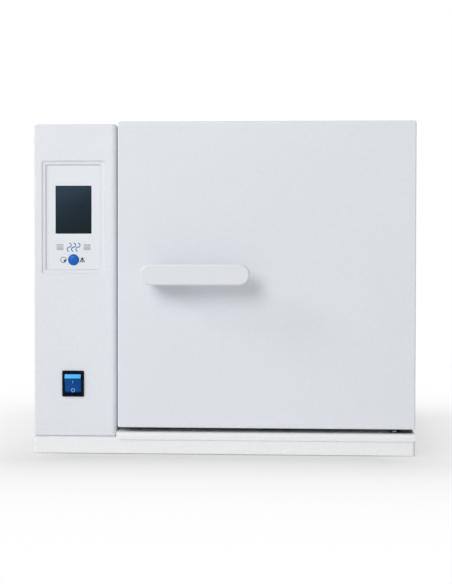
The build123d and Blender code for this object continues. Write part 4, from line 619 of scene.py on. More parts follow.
class Shape:
    """A mesh in millimetres that grows by bmesh operators and ends as one object."""

    def __init__(self) -> None:
        """Starts an empty mesh."""
        self.mesh = bmesh.new()
        self.finishes: list[Finish] = []

    def settle(self, before: set, place: Matrix, finish: int = 0) -> None:
        """Puts what was made since some vertices in its place, with its finish."""
        fresh = [v for v in self.mesh.verts if v not in before]
        bmesh.ops.transform(self.mesh, matrix=place, verts=fresh)
        for face in {f for v in fresh for f in v.link_faces}:
            face.material_index = finish

    def draw_out(self, faces: list, way: Point) -> None:
        """Draws faces out along a way, in millimetres."""
        drawn = bmesh.ops.extrude_face_region(self.mesh, geom=faces)["geom"]
        moved = [g for g in drawn if isinstance(g, bmesh.types.BMVert)]
        bmesh.ops.translate(self.mesh, vec=way, verts=moved)

    def raise_flat(self, before: set, depth: float, place: Matrix, finish: int) -> None:
        """Draws the flat faces made since some vertices out by a depth, and settles them."""
        faces = list({f for v in self.mesh.verts if v not in before for f in v.link_faces})
        self.draw_out(faces, (0, 0, depth))
        self.settle(before, place, finish)

    def plate(self, width: float, height: float, depth: float, place: Matrix, corner: float = 0.0,
              finish: int = 0, round_steps: int = 4) -> None:
        """Adds a flat plate, standing outwards from its place.

        Args:
            width, height, depth: its sizes.
            place: its place, as Facing.at gives it.
            corner: the radius of its corners.
            finish: the number of its finish.
            round_steps: the steps of each corner.
        """
        before = set(self.mesh.verts)
        corners = bmesh.ops.create_grid(self.mesh, x_segments=1, y_segments=1, size=0.5)["verts"]
        bmesh.ops.scale(self.mesh, vec=(width, height, 1), verts=corners)
        if corner:
            bmesh.ops.bevel(self.mesh, geom=corners, affect="VERTICES", offset=corner, segments=round_steps,
                            profile=0.5, material=-1)
        self.raise_flat(before, depth, place, finish)

    def disc(self, radius: float, depth: float, place: Matrix, finish: int = 0, steps: int = 32) -> None:
        """Adds a round disc, standing outwards from its place."""
        before = set(self.mesh.verts)
        bmesh.ops.create_circle(self.mesh, cap_ends=True, segments=steps, radius=radius)
        self.raise_flat(before, depth, place, finish)

    def turned(self, profile: Sequence[Flat], place: Matrix, finish: int = 0,
               steps: int = 32, sweep: float = 360.0) -> None:
        """Adds a turned shape.

        Args:
            profile: (radius, height) along its outline; a closed outline names its first point again.
            place: its place; it turns about its own Z.
            finish: the number of its finish.
            steps: the steps of the turn.
            sweep: degrees of the turn.
        """
        before = set(self.mesh.verts)
        closed = profile[0] == profile[-1]
        points = [self.mesh.verts.new((r, 0, h)) for r, h in (profile[:-1] if closed else profile)]
        pairs = list(zip(points, points[1:])) + ([(points[-1], points[0])] if closed else [])
        edges = [self.mesh.edges.new(pair) for pair in pairs]
        bmesh.ops.spin(self.mesh, geom=points + edges, cent=(0, 0, 0), axis=(0, 0, 1), dvec=(0, 0, 0),
                       angle=math.radians(sweep), steps=steps, use_merge=sweep == 360.0)
        fresh = [v for v in self.mesh.verts if v not in before]
        bmesh.ops.remove_doubles(self.mesh, verts=fresh, dist=1e-5)
        self.settle(before, place, finish)

    def bar(self, start: Flat, end: Flat, width: float, depth: float, place: Matrix, finish: int = 0) -> None:
        """Adds a straight stroke between two points of its place."""
        run = Vector(end) - Vector(start)
        middle = (Vector(start) + Vector(end)) / 2
        spot = place @ shift(*middle) @ Matrix.Rotation(math.atan2(run.y, run.x), 4, "Z")
        self.plate(run.length + width, width, depth, spot, corner=width * 0.49, finish=finish, round_steps=3)

    def ring(self, outer: float, inner: float, depth: float, place: Matrix, finish: int = 0,
             steps: int = 48, sweep: float = 360.0) -> None:
        """Adds a flat ring, or an arc of one."""
        outline = [(inner, 0), (outer, 0), (outer, depth), (inner, depth), (inner, 0)]
        self.turned(outline, place, finish, steps, sweep)

    def copies(self, other: bpy.types.Mesh, places: Iterable[Matrix], finish: int = 0) -> None:
        """Adds copies of a mesh, in millimetres, at several places."""
        for place in places:
            before = set(self.mesh.verts)
            self.mesh.from_mesh(other)
            self.settle(before, place, finish)

    def to_mesh(self, name: str, scale: float = 1.0) -> bpy.types.Mesh:
        """Ends the shape as a mesh with its faces outwards.

        Args:
            name: the mesh's name.
            scale: what its millimetres are multiplied by.

        Returns:
            The mesh.
        """
        bmesh.ops.recalc_face_normals(self.mesh, faces=self.mesh.faces)
        bmesh.ops.scale(self.mesh, vec=(scale, scale, scale), verts=self.mesh.verts)
        made = bpy.data.meshes.new(name)
        self.mesh.to_mesh(made)
        self.mesh.free()
        return made

    def piece(self, name: str, body: Body, finishes: Sequence[Finish], replaces: Sequence[str] = (),
              smooth: float = 30.0) -> bpy.types.Object:
        """Ends the shape as a piece that rides on a body.

        Args:
            name: the piece's name.
            body: the body that it moves with.
            finishes: its finishes, in the order of their numbers.
            replaces: the CAD nodes that it stands for.
            smooth: the largest angle, in degrees, over which faces are shaded as one.

        Returns:
            The object.
        """
        mesh = self.to_mesh(name, 1 / METRE)
        made = add_object(name, mesh)
        for finish in finishes:
            mesh.materials.append(finish.material())
        for polygon in mesh.polygons:
            polygon.use_smooth = True
        mesh.set_sharp_from_angle(angle=math.radians(smooth))
        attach(made, body.value)
        if replaces:
            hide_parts(*replaces)
        log.info("%s: %d faces on %s", name, len(mesh.polygons), body.value)
        return made


def cut(mesh: bpy.types.Mesh, cutter: bpy.types.Mesh) -> bpy.types.Mesh:
    """A mesh with another's space taken out of it.

    Args:
        mesh: the mesh that is cut.
        cutter: the space that is taken out.

    Returns:
        The mesh that is left.
    """
    whole, tool = add_object("uncut", mesh), add_object("cutter", cutter)
    modifier = whole.modifiers.new("cut", "BOOLEAN")
    modifier.operation, modifier.object, modifier.solver = "DIFFERENCE", tool, "EXACT"
    seen = whole.evaluated_get(bpy.context.evaluated_depsgraph_get())
    left = bpy.data.meshes.new_from_object(seen)
    for item in (whole, tool):
        bpy.data.objects.remove(item)
    return left


def cross_screw(radius: float, height: float, shank: float, length: float) -> bpy.types.Mesh:
    """One screw with a domed head and a cross recess.

    Args:
        radius, height: the head's sizes.
        shank: the shank's radius.
        length: how far the shank goes in.

    Returns:
        The screw, with its head's foot at the origin.
    """
    crown = [(radius, 0), (radius, height * 0.35), (radius * 0.92, height * 0.68),
             (radius * 0.74, height * 0.9), (radius * 0.45, height * 0.98), (0, height)]
    body = Shape()
    body.turned([(0, -length), (shank, -length), (shank, 0)] + crown, Matrix.Identity(4), steps=28)
    left = body.to_mesh("screw_body")
    for turn in (4, 94):  # one after the other, because a cutter that crosses itself leaves nothing
        blade = Shape()
        blade.plate(radius * 1.05, radius * 0.27, height, shift(z=height * 0.3) @ turn_z(turn))
        left = cut(left, blade.to_mesh("screw_blade"))
    return left


def slot_screw(radius: float, height: float) -> bpy.types.Mesh:
    """The head of a slotted screw, with its foot at the origin.

    Args:
        radius, height: the head's sizes.

    Returns:
        The head.
    """
    body = Shape()
    rim = [(0, 0), (radius, 0), (radius, height * 0.7), (radius * 0.86, height), (0, height)]
    body.turned(rim, Matrix.Identity(4), steps=28)
    slot = Shape()
    slot.plate(radius * 2.4, radius * 0.26, height, shift(z=height * 0.5))
    return cut(body.to_mesh("screw_rim"), slot.to_mesh("screw_slot"))


def add_screws(name: str, screw: bpy.types.Mesh, places: Iterable[Matrix], body: Body = Body.HOUSING,
               replaces: Sequence[str] = ()) -> None:
    """Makes a piece of bright screws.

    Args:
        name: the piece's name.
        screw: one screw.
        places: the foot of each screw's head.
        body: the body that they move with.
        replaces: the CAD nodes that they stand for.
    """
    shape = Shape()
    shape.copies(screw, places)
    shape.piece(name, body, [BRIGHT_SCREW], replaces)


def paint(finish: Finish, *nodes: str) -> None:
    """Gives CAD nodes a finish.

    Args:
        finish: the finish.
        nodes: the nodes' names.
    """
    for name in nodes:
        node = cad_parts[name]
        if not node.material_slots:
            node.data.materials.append(finish.material())
        for slot in node.material_slots:
            slot.material = finish.material()
        log.info("%s: %s", name, finish.name)


# ------------------------------------------------------------------ Studio


@dataclass
class Studio:
    """The camera, lights, floor and background."""

    eye: Point = (111.59, -1970.0, 238.74)  # millimetres
    yaw: float = 0.05969
    pitch: float = -0.02379
    roll: float = 0.00159
    focal_pixels: float = 1507.3
    frame_height: int = 584
    sensor: float = 36.0
    clip: Flat = (0.05, 60.0)  # metres
    aim: Point = (0, 0, 200)
    sky: float = 0.43
    key_place: Point = (-2300, -5900, 2900)
    key_size: float = 3300.0
    key_watts: float = 191.0
    rim_place: Point = (-4700, -2100, 3300)
    rim_size: float = 1500.0
    rim_watts: float = 58.0
    floor_side: float = 24000.0
    floor_depth: float = 20.0
    floor_tone: Colour = (0.93, 0.93, 0.93)
    floor_lift: float = 0.6
    floor_glow: float = 0.66
    shade_centre: Point = (0, 20, 0)
    shade_half: Point = (0.18, 0.22, 0.1)  # metres
    shade_decay: float = -8.0  # a metre

    def camera(self) -> None:
        """Makes the camera at the photograph's viewpoint."""
        data = bpy.data.cameras.new("camera")
        data.sensor_width = self.sensor
        data.lens = self.sensor * self.focal_pixels / self.frame_height
        data.clip_start, data.clip_end = self.clip
        made = add_object("camera", data)
        turn = Euler((math.pi / 2 + self.pitch, 0, self.yaw)).to_matrix() @ Matrix.Rotation(self.roll, 3, "Z")
        made.location = Vector(self.eye) / METRE
        made.rotation_euler = turn.to_euler()
        bpy.context.scene.camera = made
        bpy.context.scene.view_settings.view_transform = "Standard"

    def _lamp(self, name: str, place: Point, size: float, watts: float) -> None:
        """Makes one round soft lamp that faces the object.

        Args:
            name: the lamp's name.
            place: its place, in millimetres.
            size: its width, in millimetres.
            watts: its power.
        """
        data = bpy.data.lights.new(name, "AREA")
        data.shape, data.size, data.energy = "DISK", size / METRE, watts
        made = add_object(name, data)
        made.location = Vector(place) / METRE
        made.rotation_euler = (Vector(place) - Vector(self.aim)).to_track_quat("Z", "Y").to_euler()

    def lamps(self) -> None:
        """Makes a large soft key lamp, high at the left, and a weak one that skims the front."""
        self._lamp("key_softbox", self.key_place, self.key_size, self.key_watts)
        self._lamp("rim_softbox", self.rim_place, self.rim_size, self.rim_watts)

    def background(self) -> None:
        """Makes an even pale sky that the camera and reflections see as white."""
        world = bpy.data.worlds.new("studio_sky")
        bpy.context.scene.world = world
        graph = Graph(world)
        eye, gloss, glass = (graph.node("ShaderNodeLightPath", output=f"Is {ray} Ray")
                             for ray in ("Camera", "Glossy", "Transmission"))
        seen = graph.maths("MAXIMUM", eye, graph.maths("MAXIMUM", gloss, glass))
        strength = graph.node("ShaderNodeMapRange", None, {0: seen, 3: self.sky, 4: 1.0})
        graph.end(graph.node("ShaderNodeBackground", None, {0: WHITE, 1: strength}), "ShaderNodeOutputWorld")

    def floor(self) -> None:
        """Makes the pale floor, which the camera sees as white outside the object's shadow."""
        shape = Shape()
        shape.plate(self.floor_side, self.floor_side, self.floor_depth, shift(z=-self.floor_depth))
        mesh = shape.to_mesh("floor", 1 / METRE)
        made = add_object("floor", mesh)
        graph = Graph(bpy.data.materials.new("floor_paper"))
        diffuse = graph.node("ShaderNodeBsdfDiffuse", None, {"Color": (*self.floor_tone, 1)})
        lift = graph.node("ShaderNodeEmission", None, {"Color": WHITE, "Strength": self.floor_glow})
        lifted = graph.node("ShaderNodeMixShader", None, {0: self.floor_lift, 1: diffuse, 2: lift})
        white = graph.node("ShaderNodeEmission", None, {"Color": WHITE, "Strength": 1.0})
        away = graph.vectors("ABSOLUTE", graph.place(self.shade_centre))
        away = graph.vectors("MAXIMUM", graph.vectors("SUBTRACT", away, self.shade_half), (0, 0, 0))
        reach = graph.vectors("LENGTH", away, output="Value")
        fade = 1 - graph.maths("EXPONENT", reach * self.shade_decay)
        faded = graph.node("ShaderNodeMixShader", None, {0: fade, 1: lifted, 2: white})
        seen = graph.node("ShaderNodeLightPath", output="Is Camera Ray")
        graph.end(graph.node("ShaderNodeMixShader", None, {0: seen, 1: diffuse, 2: faded}))
        mesh.materials.append(graph.owner)

    def build(self) -> None:
        """Makes the whole studio, camera first."""
        self.camera()
        self.lamps()
        self.background()
        self.floor()
        log.info("studio: camera, lamps, sky and floor")


# ---------------------------------------------------------- Sub-assemblies


@dataclass
class Assembly:
    """A sub-assembly: the finishes of its CAD nodes, and the pieces that it adds."""

    coats: ClassVar[dict[Finish, tuple[str, ...]]] = {}

    def dress(self) -> None:
        """Gives the CAD nodes their finishes."""
        for finish, nodes in self.coats.items():
            paint(finish, *nodes)

    def build(self) -> None:
        """Makes the pieces, where the sub-assembly has any."""


@dataclass
class Housing(Assembly):
    """The plinth, casings, front frame, sill and feet."""

    sill_xs: tuple[float, ...] = (-128.0, 200.4, 228.5, 230.0)  # the hinge plate's seat is the middle cell
    sill_ys: tuple[float, ...] = (-170.7, -157.2, -122.6, -122.0)
    sill_foot_z: float = 20.0
    sill_height: float = 6.9
    sill_seat: float = 1.9  # how far the hinge plate's seat is sunk
    sill_rounding: float = 3.4
    lip_reach: float = 2.0  # below the sill's foot
    lip_sheet: float = 1.5
    lip_gap: float = 0.02  # keeps the lip's face off the sill's
    near: float = 0.01  # how closely faces and edges are found

    coats = {
        CASING: ("tower_front", "tower_shell", "cabinet_shell", "front_frame", "rear_panel"),
        # Painted light: the plinth takes the lighter copy of the casing enamel.
        PLINTH_PAINTED_LIGHT: ("base_plinth",),
        ZINC: ("base_plate", "fan_plenum", "latch_keeper"),
        FOOT_RUBBER: ("feet",),
        WOOL: ("chamber_insulation",),
    }

    def _sink_seat(self, shape: Shape, top_z: float) -> None:
        """Sinks the seat that the hinge plate lies in."""
        middle = Vector((sum(self.sill_xs[1:3]) / 2, sum(self.sill_ys[1:3]) / 2, top_z))
        tops = [f for f in shape.mesh.faces if min(v.co.z for v in f.verts) > top_z - self.near]
        seat = min(tops, key=lambda f: (f.calc_center_median() - middle).length)
        shape.draw_out([seat], (0, 0, -self.sill_seat))
        if seat.is_valid:
            bmesh.ops.delete(shape.mesh, geom=[seat], context="FACES_ONLY")

    def _round_nose(self, mesh: bmesh.types.BMesh, top_z: float) -> None:
        """Rounds the sill's upper front edge."""
        nose = [e for e in mesh.edges if all(
            abs(v.co.y - self.sill_ys[0]) < self.near and v.co.z > top_z - self.near for v in e.verts)]
        bmesh.ops.bevel(mesh, geom=nose, affect="EDGES", offset=self.sill_rounding, segments=6, profile=0.5,
                        material=-1)

    def build(self) -> None:
        """Makes the door sill, with a rounded nose, a lip over the plinth and a sunk seat for the hinge."""
        shape = Shape()
        left, right, front = self.sill_xs[0], self.sill_xs[-1], self.sill_ys[0]
        top_z = self.sill_foot_z + self.sill_height
        cells = len(self.sill_xs) - 1
        grid = bmesh.ops.create_grid(shape.mesh, x_segments=cells, y_segments=cells, size=cells / 2)["verts"]
        for corner in grid:
            column, row = (round(c + cells / 2) for c in corner.co.xy)
            corner.co = (self.sill_xs[column], self.sill_ys[row], self.sill_foot_z)
        shape.draw_out(list(shape.mesh.faces), (0, 0, self.sill_height))
        self._sink_seat(shape, top_z)
        self._round_nose(shape.mesh, top_z)
        lip = Facing.FRONT.at((left + right) / 2, front + self.lip_sheet, self.sill_foot_z)
        shape.plate(right - left, 2 * self.lip_reach, self.lip_sheet - self.lip_gap, lip,
                    corner=self.lip_reach * 0.9)
        # Painted light: the sill takes the plinth's lighter copy of the casing enamel.
        shape.piece("folded_sill", Body.HOUSING, [PLINTH_PAINTED_LIGHT], ["door_sill"])


@dataclass
class ControlPanel(Assembly):
    """The fascia, its print, the display and the push button."""

    middle_x: float = -182.5
    face_y: float = -153.4
    button_z: float = 234.0
    button_radius: float = 6.5
    button_rise: float = 1.2
    button_collar: float = 16.0
    button_stem: float = 4.0
    button_depths: tuple[float, float, float] = (1.5, 2.7, 3.7)  # of the collar, stem and end
    ink: float = 0.05
    clock_x: float = -12.3
    clock_radius: float = 3.7
    clock_line: float = 0.7
    quarter_radius: float = 2.9
    quarter_start: float = -75.0
    quarter_sweep: float = 85.0
    bell_x: float = 10.6
    bell_crown: float = 1.5
    bell_clapper: float = 0.7
    bell_strokes: tuple[tuple[Flat, Flat, float], ...] = (  # both ends, about the bell, and the width
        ((-0.9, 0.6), (-2.5, -2.2), 0.9), ((-2.7, 2.2), (-3.3, 2.8), 0.5), ((0.9, 0.6), (2.5, -2.2), 0.9),
        ((2.7, 2.2), (3.3, 2.8), 0.5), ((-3.1, -2.5), (3.1, -2.5), 0.7), ((0, 2.4), (0, 3.2), 0.7),
    )
    band_z: float = 15.3
    band_inner: float = 12.6
    band_outer: float = 20.4
    band_count: int = 5
    band_pitch: float = 1.5
    band_line: float = 0.75
    wave_pitch: float = 5.4
    wave_height: float = 5.0
    wave_line: float = 1.2

    coats = {
        FASCIA_FILM: ("fascia_plate",),
        DISPLAY: ("display_window",),
        MODULE_BLACK: ("lcd_module",),
        BOARD: ("control_board",),
        TURNED: ("board_standoffs",),
        SWITCH_BLACK: ("button_switch",),
    }

    def _spot(self, x: float, z: float) -> Matrix:
        """A place on the fascia's face, about the button."""
        return Facing.FRONT.at(self.middle_x + x, self.face_y, self.button_z + z)

    def _clock(self, shape: Shape) -> None:
        """Draws a clock face with a filled quarter."""
        spot = self._spot(self.clock_x, 0)
        shape.ring(self.clock_radius, self.clock_radius - self.clock_line, self.ink, spot)
        shape.ring(self.quarter_radius, 0.2, self.ink, spot @ turn_z(self.quarter_start), steps=12,
                   sweep=self.quarter_sweep)

    def _bell(self, shape: Shape) -> None:
        """Draws an alarm bell between two short rays each side."""
        spot = self._spot(self.bell_x, 0)
        shape.ring(self.bell_crown, 0.0, self.ink, spot @ shift(y=1.1), steps=24)
        for start, end, width in self.bell_strokes:
            shape.bar(start, end, width, self.ink, spot)
        shape.disc(self.bell_clapper, self.ink, spot @ shift(y=-1.2), steps=16)

    def _bands(self, shape: Shape) -> None:
        """Draws the thin lines that flank the waves."""
        for side in (-1, 1):
            for i in range(self.band_count):
                rise = self.band_z + (i - (self.band_count - 1) / 2) * self.band_pitch
                ends = (side * self.band_inner, rise), (side * self.band_outer, rise)
                shape.bar(*ends, self.band_line, self.ink, self._spot(0, 0), finish=2)

    def _waves(self, shape: Shape) -> None:
        """Draws three rising waves, the usual sign for heat."""
        bend, half = self.wave_height / 2, self.wave_line / 2
        for i in (-1, 0, 1):
            foot = self._spot(0, 0) @ shift(i * self.wave_pitch, self.band_z)
            for side in (-1, 1):
                arc = foot @ shift(y=side * bend) @ turn_z(-90 * side)
                shape.ring(bend + half, bend - half, self.ink, arc, finish=1, steps=16, sweep=180)

    def _button(self) -> None:
        """Makes the button's domed cap, with its stem down to the switch."""
        radius, rise = self.button_radius, self.button_rise
        dome = [(radius, rise * 0.1), (radius * 0.97, rise * 0.6), (radius * 0.88, rise * 1.05),
                (radius * 0.7, rise * 1.45), (radius * 0.4, rise * 1.75), (0, rise * 1.85)]
        stem, flange = self.button_stem / 2, self.button_collar / 2
        collar, foot, end = self.button_depths
        back = [(0, -end), (stem, -end), (stem, -foot), (flange, -foot), (flange, -collar), (radius, -collar)]
        shape = Shape()
        shape.turned(back + dome, self._spot(0, 0), steps=48)
        shape.piece("domed_button", Body.BUTTON, [BUTTON_BLUE], ["push_button"])

    def build(self) -> None:
        """Makes the fascia's print and the button's cap."""
        shape = Shape()
        self._clock(shape)
        self._bell(shape)
        self._bands(shape)
        self._waves(shape)
        shape.piece("fascia_print", Body.HOUSING, [INK_DARK, INK_SLATE, INK_HAZE])
        self._button()


@dataclass
class PowerSwitch(Assembly):
    """The rocker switch: its frame, its rocker and the marks on it."""

    middle_x: float = -182.5
    pivot_y: float = -154.0
    pivot_z: float = 83.8
    tilt: float = 13.0
    width: float = 19.6
    half_length: float = 12.4
    chamfer_start: float = 8.3
    end_rise: float = 3.2
    shoulder_rise: float = 6.7
    valley_rise: float = 4.7
    back: float = 2.0
    edge: float = 0.35
    ink: float = 0.05
    highlight_up: float = 0.4  # a face with the painted highlight points up the rocker and out of it by more than these
    highlight_out: float = 0.3
    circle_radius: float = 2.3
    circle_along: float = 6.8
    dash_length: float = 3.4
    dash_along: float = 3.4
    mark_line: float = 0.7

    coats = {SWITCH_BLACK: ("rocker_frame",)}

    def _frame(self) -> Matrix:
        """The rocker's own place: X to the right, Y up along it and Z out of its face."""
        lean = Matrix.Rotation(math.radians(self.tilt), 4, "X")
        return Facing.FRONT.at(self.middle_x, self.pivot_y, self.pivot_z) @ lean

    def _slope(self, side: int, along: float) -> Matrix:
        """A place on one half of the rocker's face.

        Args:
            side: 1 for the upper half, -1 for the lower.
            along: the distance from the middle.

        Returns:
            The place, facing out of that half.
        """
        rise = (self.shoulder_rise - self.valley_rise) / self.chamfer_start
        spot = shift(0, side * along, self.valley_rise + rise * along)
        return self._frame() @ spot @ Matrix.Rotation(side * math.atan(rise), 4, "X")

    def build(self) -> None:
        """Makes the rocker, with a painted highlight on the end slopes that face up, and the marks on it."""
        rocker = Shape()
        outline = [
            (self.half_length, -self.back), (self.half_length, self.end_rise),
            (self.chamfer_start, self.shoulder_rise), (0, self.valley_rise),
            (-self.chamfer_start, self.shoulder_rise), (-self.half_length, self.end_rise),
            (-self.half_length, -self.back),
        ]
        points = [rocker.mesh.verts.new((-self.width / 2, along, rise)) for along, rise in outline]
        rocker.draw_out([rocker.mesh.faces.new(points)], (self.width, 0, 0))
        bmesh.ops.bevel(rocker.mesh, geom=rocker.mesh.edges[:], affect="EDGES", offset=self.edge, segments=3,
                        profile=0.5, material=-1)
        rocker.settle(set(), self._frame())
        upright = self._frame().to_3x3().inverted()
        # Painted highlight: the faces that point up and out get the lighter blue.
        for facet in rocker.mesh.faces:
            facing = upright @ facet.normal
            if facing.y > self.highlight_up and facing.z > self.highlight_out:
                facet.material_index = 1
        rocker.piece("rocker_cap", Body.ROCKER, [ROCKER_BLUE, ROCKER_PAINTED_HIGHLIGHT], ["rocker"])

        marks = Shape()
        marks.ring(self.circle_radius, self.circle_radius - self.mark_line, self.ink,
                   self._slope(-1, self.circle_along), steps=32)
        marks.plate(self.mark_line, self.dash_length, self.ink, self._slope(1, self.dash_along), corner=0.2)
        marks.piece("rocker_marks", Body.ROCKER, [MARK_PALE])


@dataclass
class Door(Assembly):
    """The door's skin, liner, gasket and hinges."""

    coats = {
        DOOR_COAT: ("door_skin",),
        STAINLESS_X: ("door_liner",),
        WOOL: ("door_insulation",),
        GASKET: ("door_gasket",),
        TURNED: ("hinge_blocks", "hinge_pins"),
        DARK_BUSH: ("hinge_bushes",),
        CASING: ("spindle_bush",),
        HINGE_BLACK: ("lower_hinge_bracket", "upper_hinge_bracket"),
    }


@dataclass
class Handle(Assembly):
    """The lever, its spindle and the latch arm."""

    coats = {LEVER_COAT: ("handle_lever",), TURNED: ("handle_spindle",), ZINC: ("latch_arm",)}


@dataclass
class Chamber(Assembly):
    """The liner, baffle, rails, shelves and the fan behind them."""

    baffle_x: float = -49.0
    baffle_screw_ys: tuple[float, ...] = (-88.9, 125.1)
    baffle_screw_zs: tuple[float, ...] = (92.5, 207.5, 322.5)
    axis_y: float = 18.1
    axis_z: float = 207.5
    motor_back_x: float = -196.7
    motor_radius: float = 38.0
    bracket_x: float = -148.7
    bracket_reach: float = 37.0
    heater_end_x: float = -144.7
    heater_leg_ys: tuple[float, ...] = (9.1, 27.1)
    heater_leg_z: float = 282.97
    bead_radius: float = 5.0
    bead_depth: float = 4.0
    stud_bore: float = 2.2
    nut_radius: float = 3.9
    nut_top: float = 6.4
    rim_depth: float = 14.0
    hub_radius: float = 9.0
    hub_depth: float = 3.0
    vent_count: int = 12
    vent_reach: float = 20.0
    vent_size: Flat = (13.0, 3.4)
    bolt_reach: float = 34.0
    bolt: ScrewSize = (2.6, 1.6, 1.2, 2)
    baffle_screw: ScrewSize = (3.0, 1.4, 1.4, 1)
    bracket_screw: ScrewSize = (4.0, 2.2, 2.0, 1)

    coats = {
        STAINLESS_Y: ("chamber_liner", "shelf_rail_left", "shelf_rail_right"),
        STAINLESS_Z: ("air_baffle",),
        SHELF_STEEL: ("shelf_lower", "shelf_middle", "shelf_upper"),
        TURNED: ("fan_shaft", "temperature_probe"),
        ZINC: ("fan_impeller", "motor_bracket"),
        MOTOR_PAINT: ("fan_motor",),
        SHEATH: ("ring_heater",),
    }

    def _motor_bell(self) -> None:
        """Makes the motor's end bell, with its vents painted as thin black plates for the shade in them, and
        tie bolts.
        """
        shape = Shape()
        back = Facing.LEFT.at(self.motor_back_x, self.axis_y, self.axis_z)
        rim, inner = self.motor_radius + 0.7, self.motor_radius - 6
        seat, hub, depth = self.motor_radius - 0.2, self.hub_radius, self.hub_depth
        shape.turned([(inner, 0), (inner, 1.2), (rim - 2, 1.2), (rim, -0.8), (rim, -self.rim_depth),
                      (seat, -self.rim_depth), (seat, 0), (inner, 0)], back, steps=64)
        shape.turned([(0, 0), (hub, 0), (hub, depth - 0.8), (hub - 1, depth), (0, depth)], back, steps=40)
        for i in range(self.vent_count):
            vent = back @ turn_z(i * 360 / self.vent_count) @ shift(self.vent_reach)
            # Painted shade: each vent is a thin black plate that stands for the dark opening.
            shape.plate(*self.vent_size, 0.12, vent, corner=1.6, finish=1)
        bolts = [back @ turn_z(45 + 90 * i) @ shift(self.bolt_reach, z=1.2) for i in range(4)]
        shape.copies(cross_screw(*self.bolt), bolts, finish=2)
        shape.piece("motor_end_bell", Body.HOUSING, [MOTOR_PAINT, SWITCH_BLACK, BRIGHT_SCREW])

    def _fixings(self) -> None:
        """Makes the baffle's and the motor bracket's screws."""
        spots = [(y, z) for y in self.baffle_screw_ys for z in self.baffle_screw_zs]
        add_screws("baffle_screws", cross_screw(*self.baffle_screw), [
            Facing.RIGHT.at(self.baffle_x, y, z, turn=19 * i) for i, (y, z) in enumerate(spots)])
        reach = self.bracket_reach
        add_screws("bracket_screws", cross_screw(*self.bracket_screw), [
            Facing.LEFT.at(self.bracket_x, self.axis_y + y, self.axis_z + z, turn=27 + y + z)
            for y in (-reach, reach) for z in (-reach, reach)])

    def _heater_ends(self) -> None:
        """Makes the ceramic beads and nuts on the heater's studs."""
        shape = Shape()
        radius, depth, bore = self.bead_radius, self.bead_depth, self.stud_bore
        bead = [(bore, 0), (radius - 0.4, 0), (radius, 0.6), (radius, depth - 0.8), (radius - 0.8, depth),
                (bore, depth), (bore, 0)]
        nut = [(bore - 0.2, depth), (self.nut_radius, depth), (self.nut_radius, self.nut_top),
               (bore - 0.2, self.nut_top), (bore - 0.2, depth)]
        for y in self.heater_leg_ys:
            end = Facing.LEFT.at(self.heater_end_x, y, self.heater_leg_z)
            shape.turned(bead, end, steps=32)
            shape.turned(nut, end, finish=1, steps=6)
        shape.piece("heater_beads", Body.HOUSING, [CERAMIC, BRIGHT_SCREW], smooth=25.0)

    def build(self) -> None:
        """Makes the details on the fan, the heater and the baffle."""
        self._motor_bell()
        self._fixings()
        self._heater_ends()


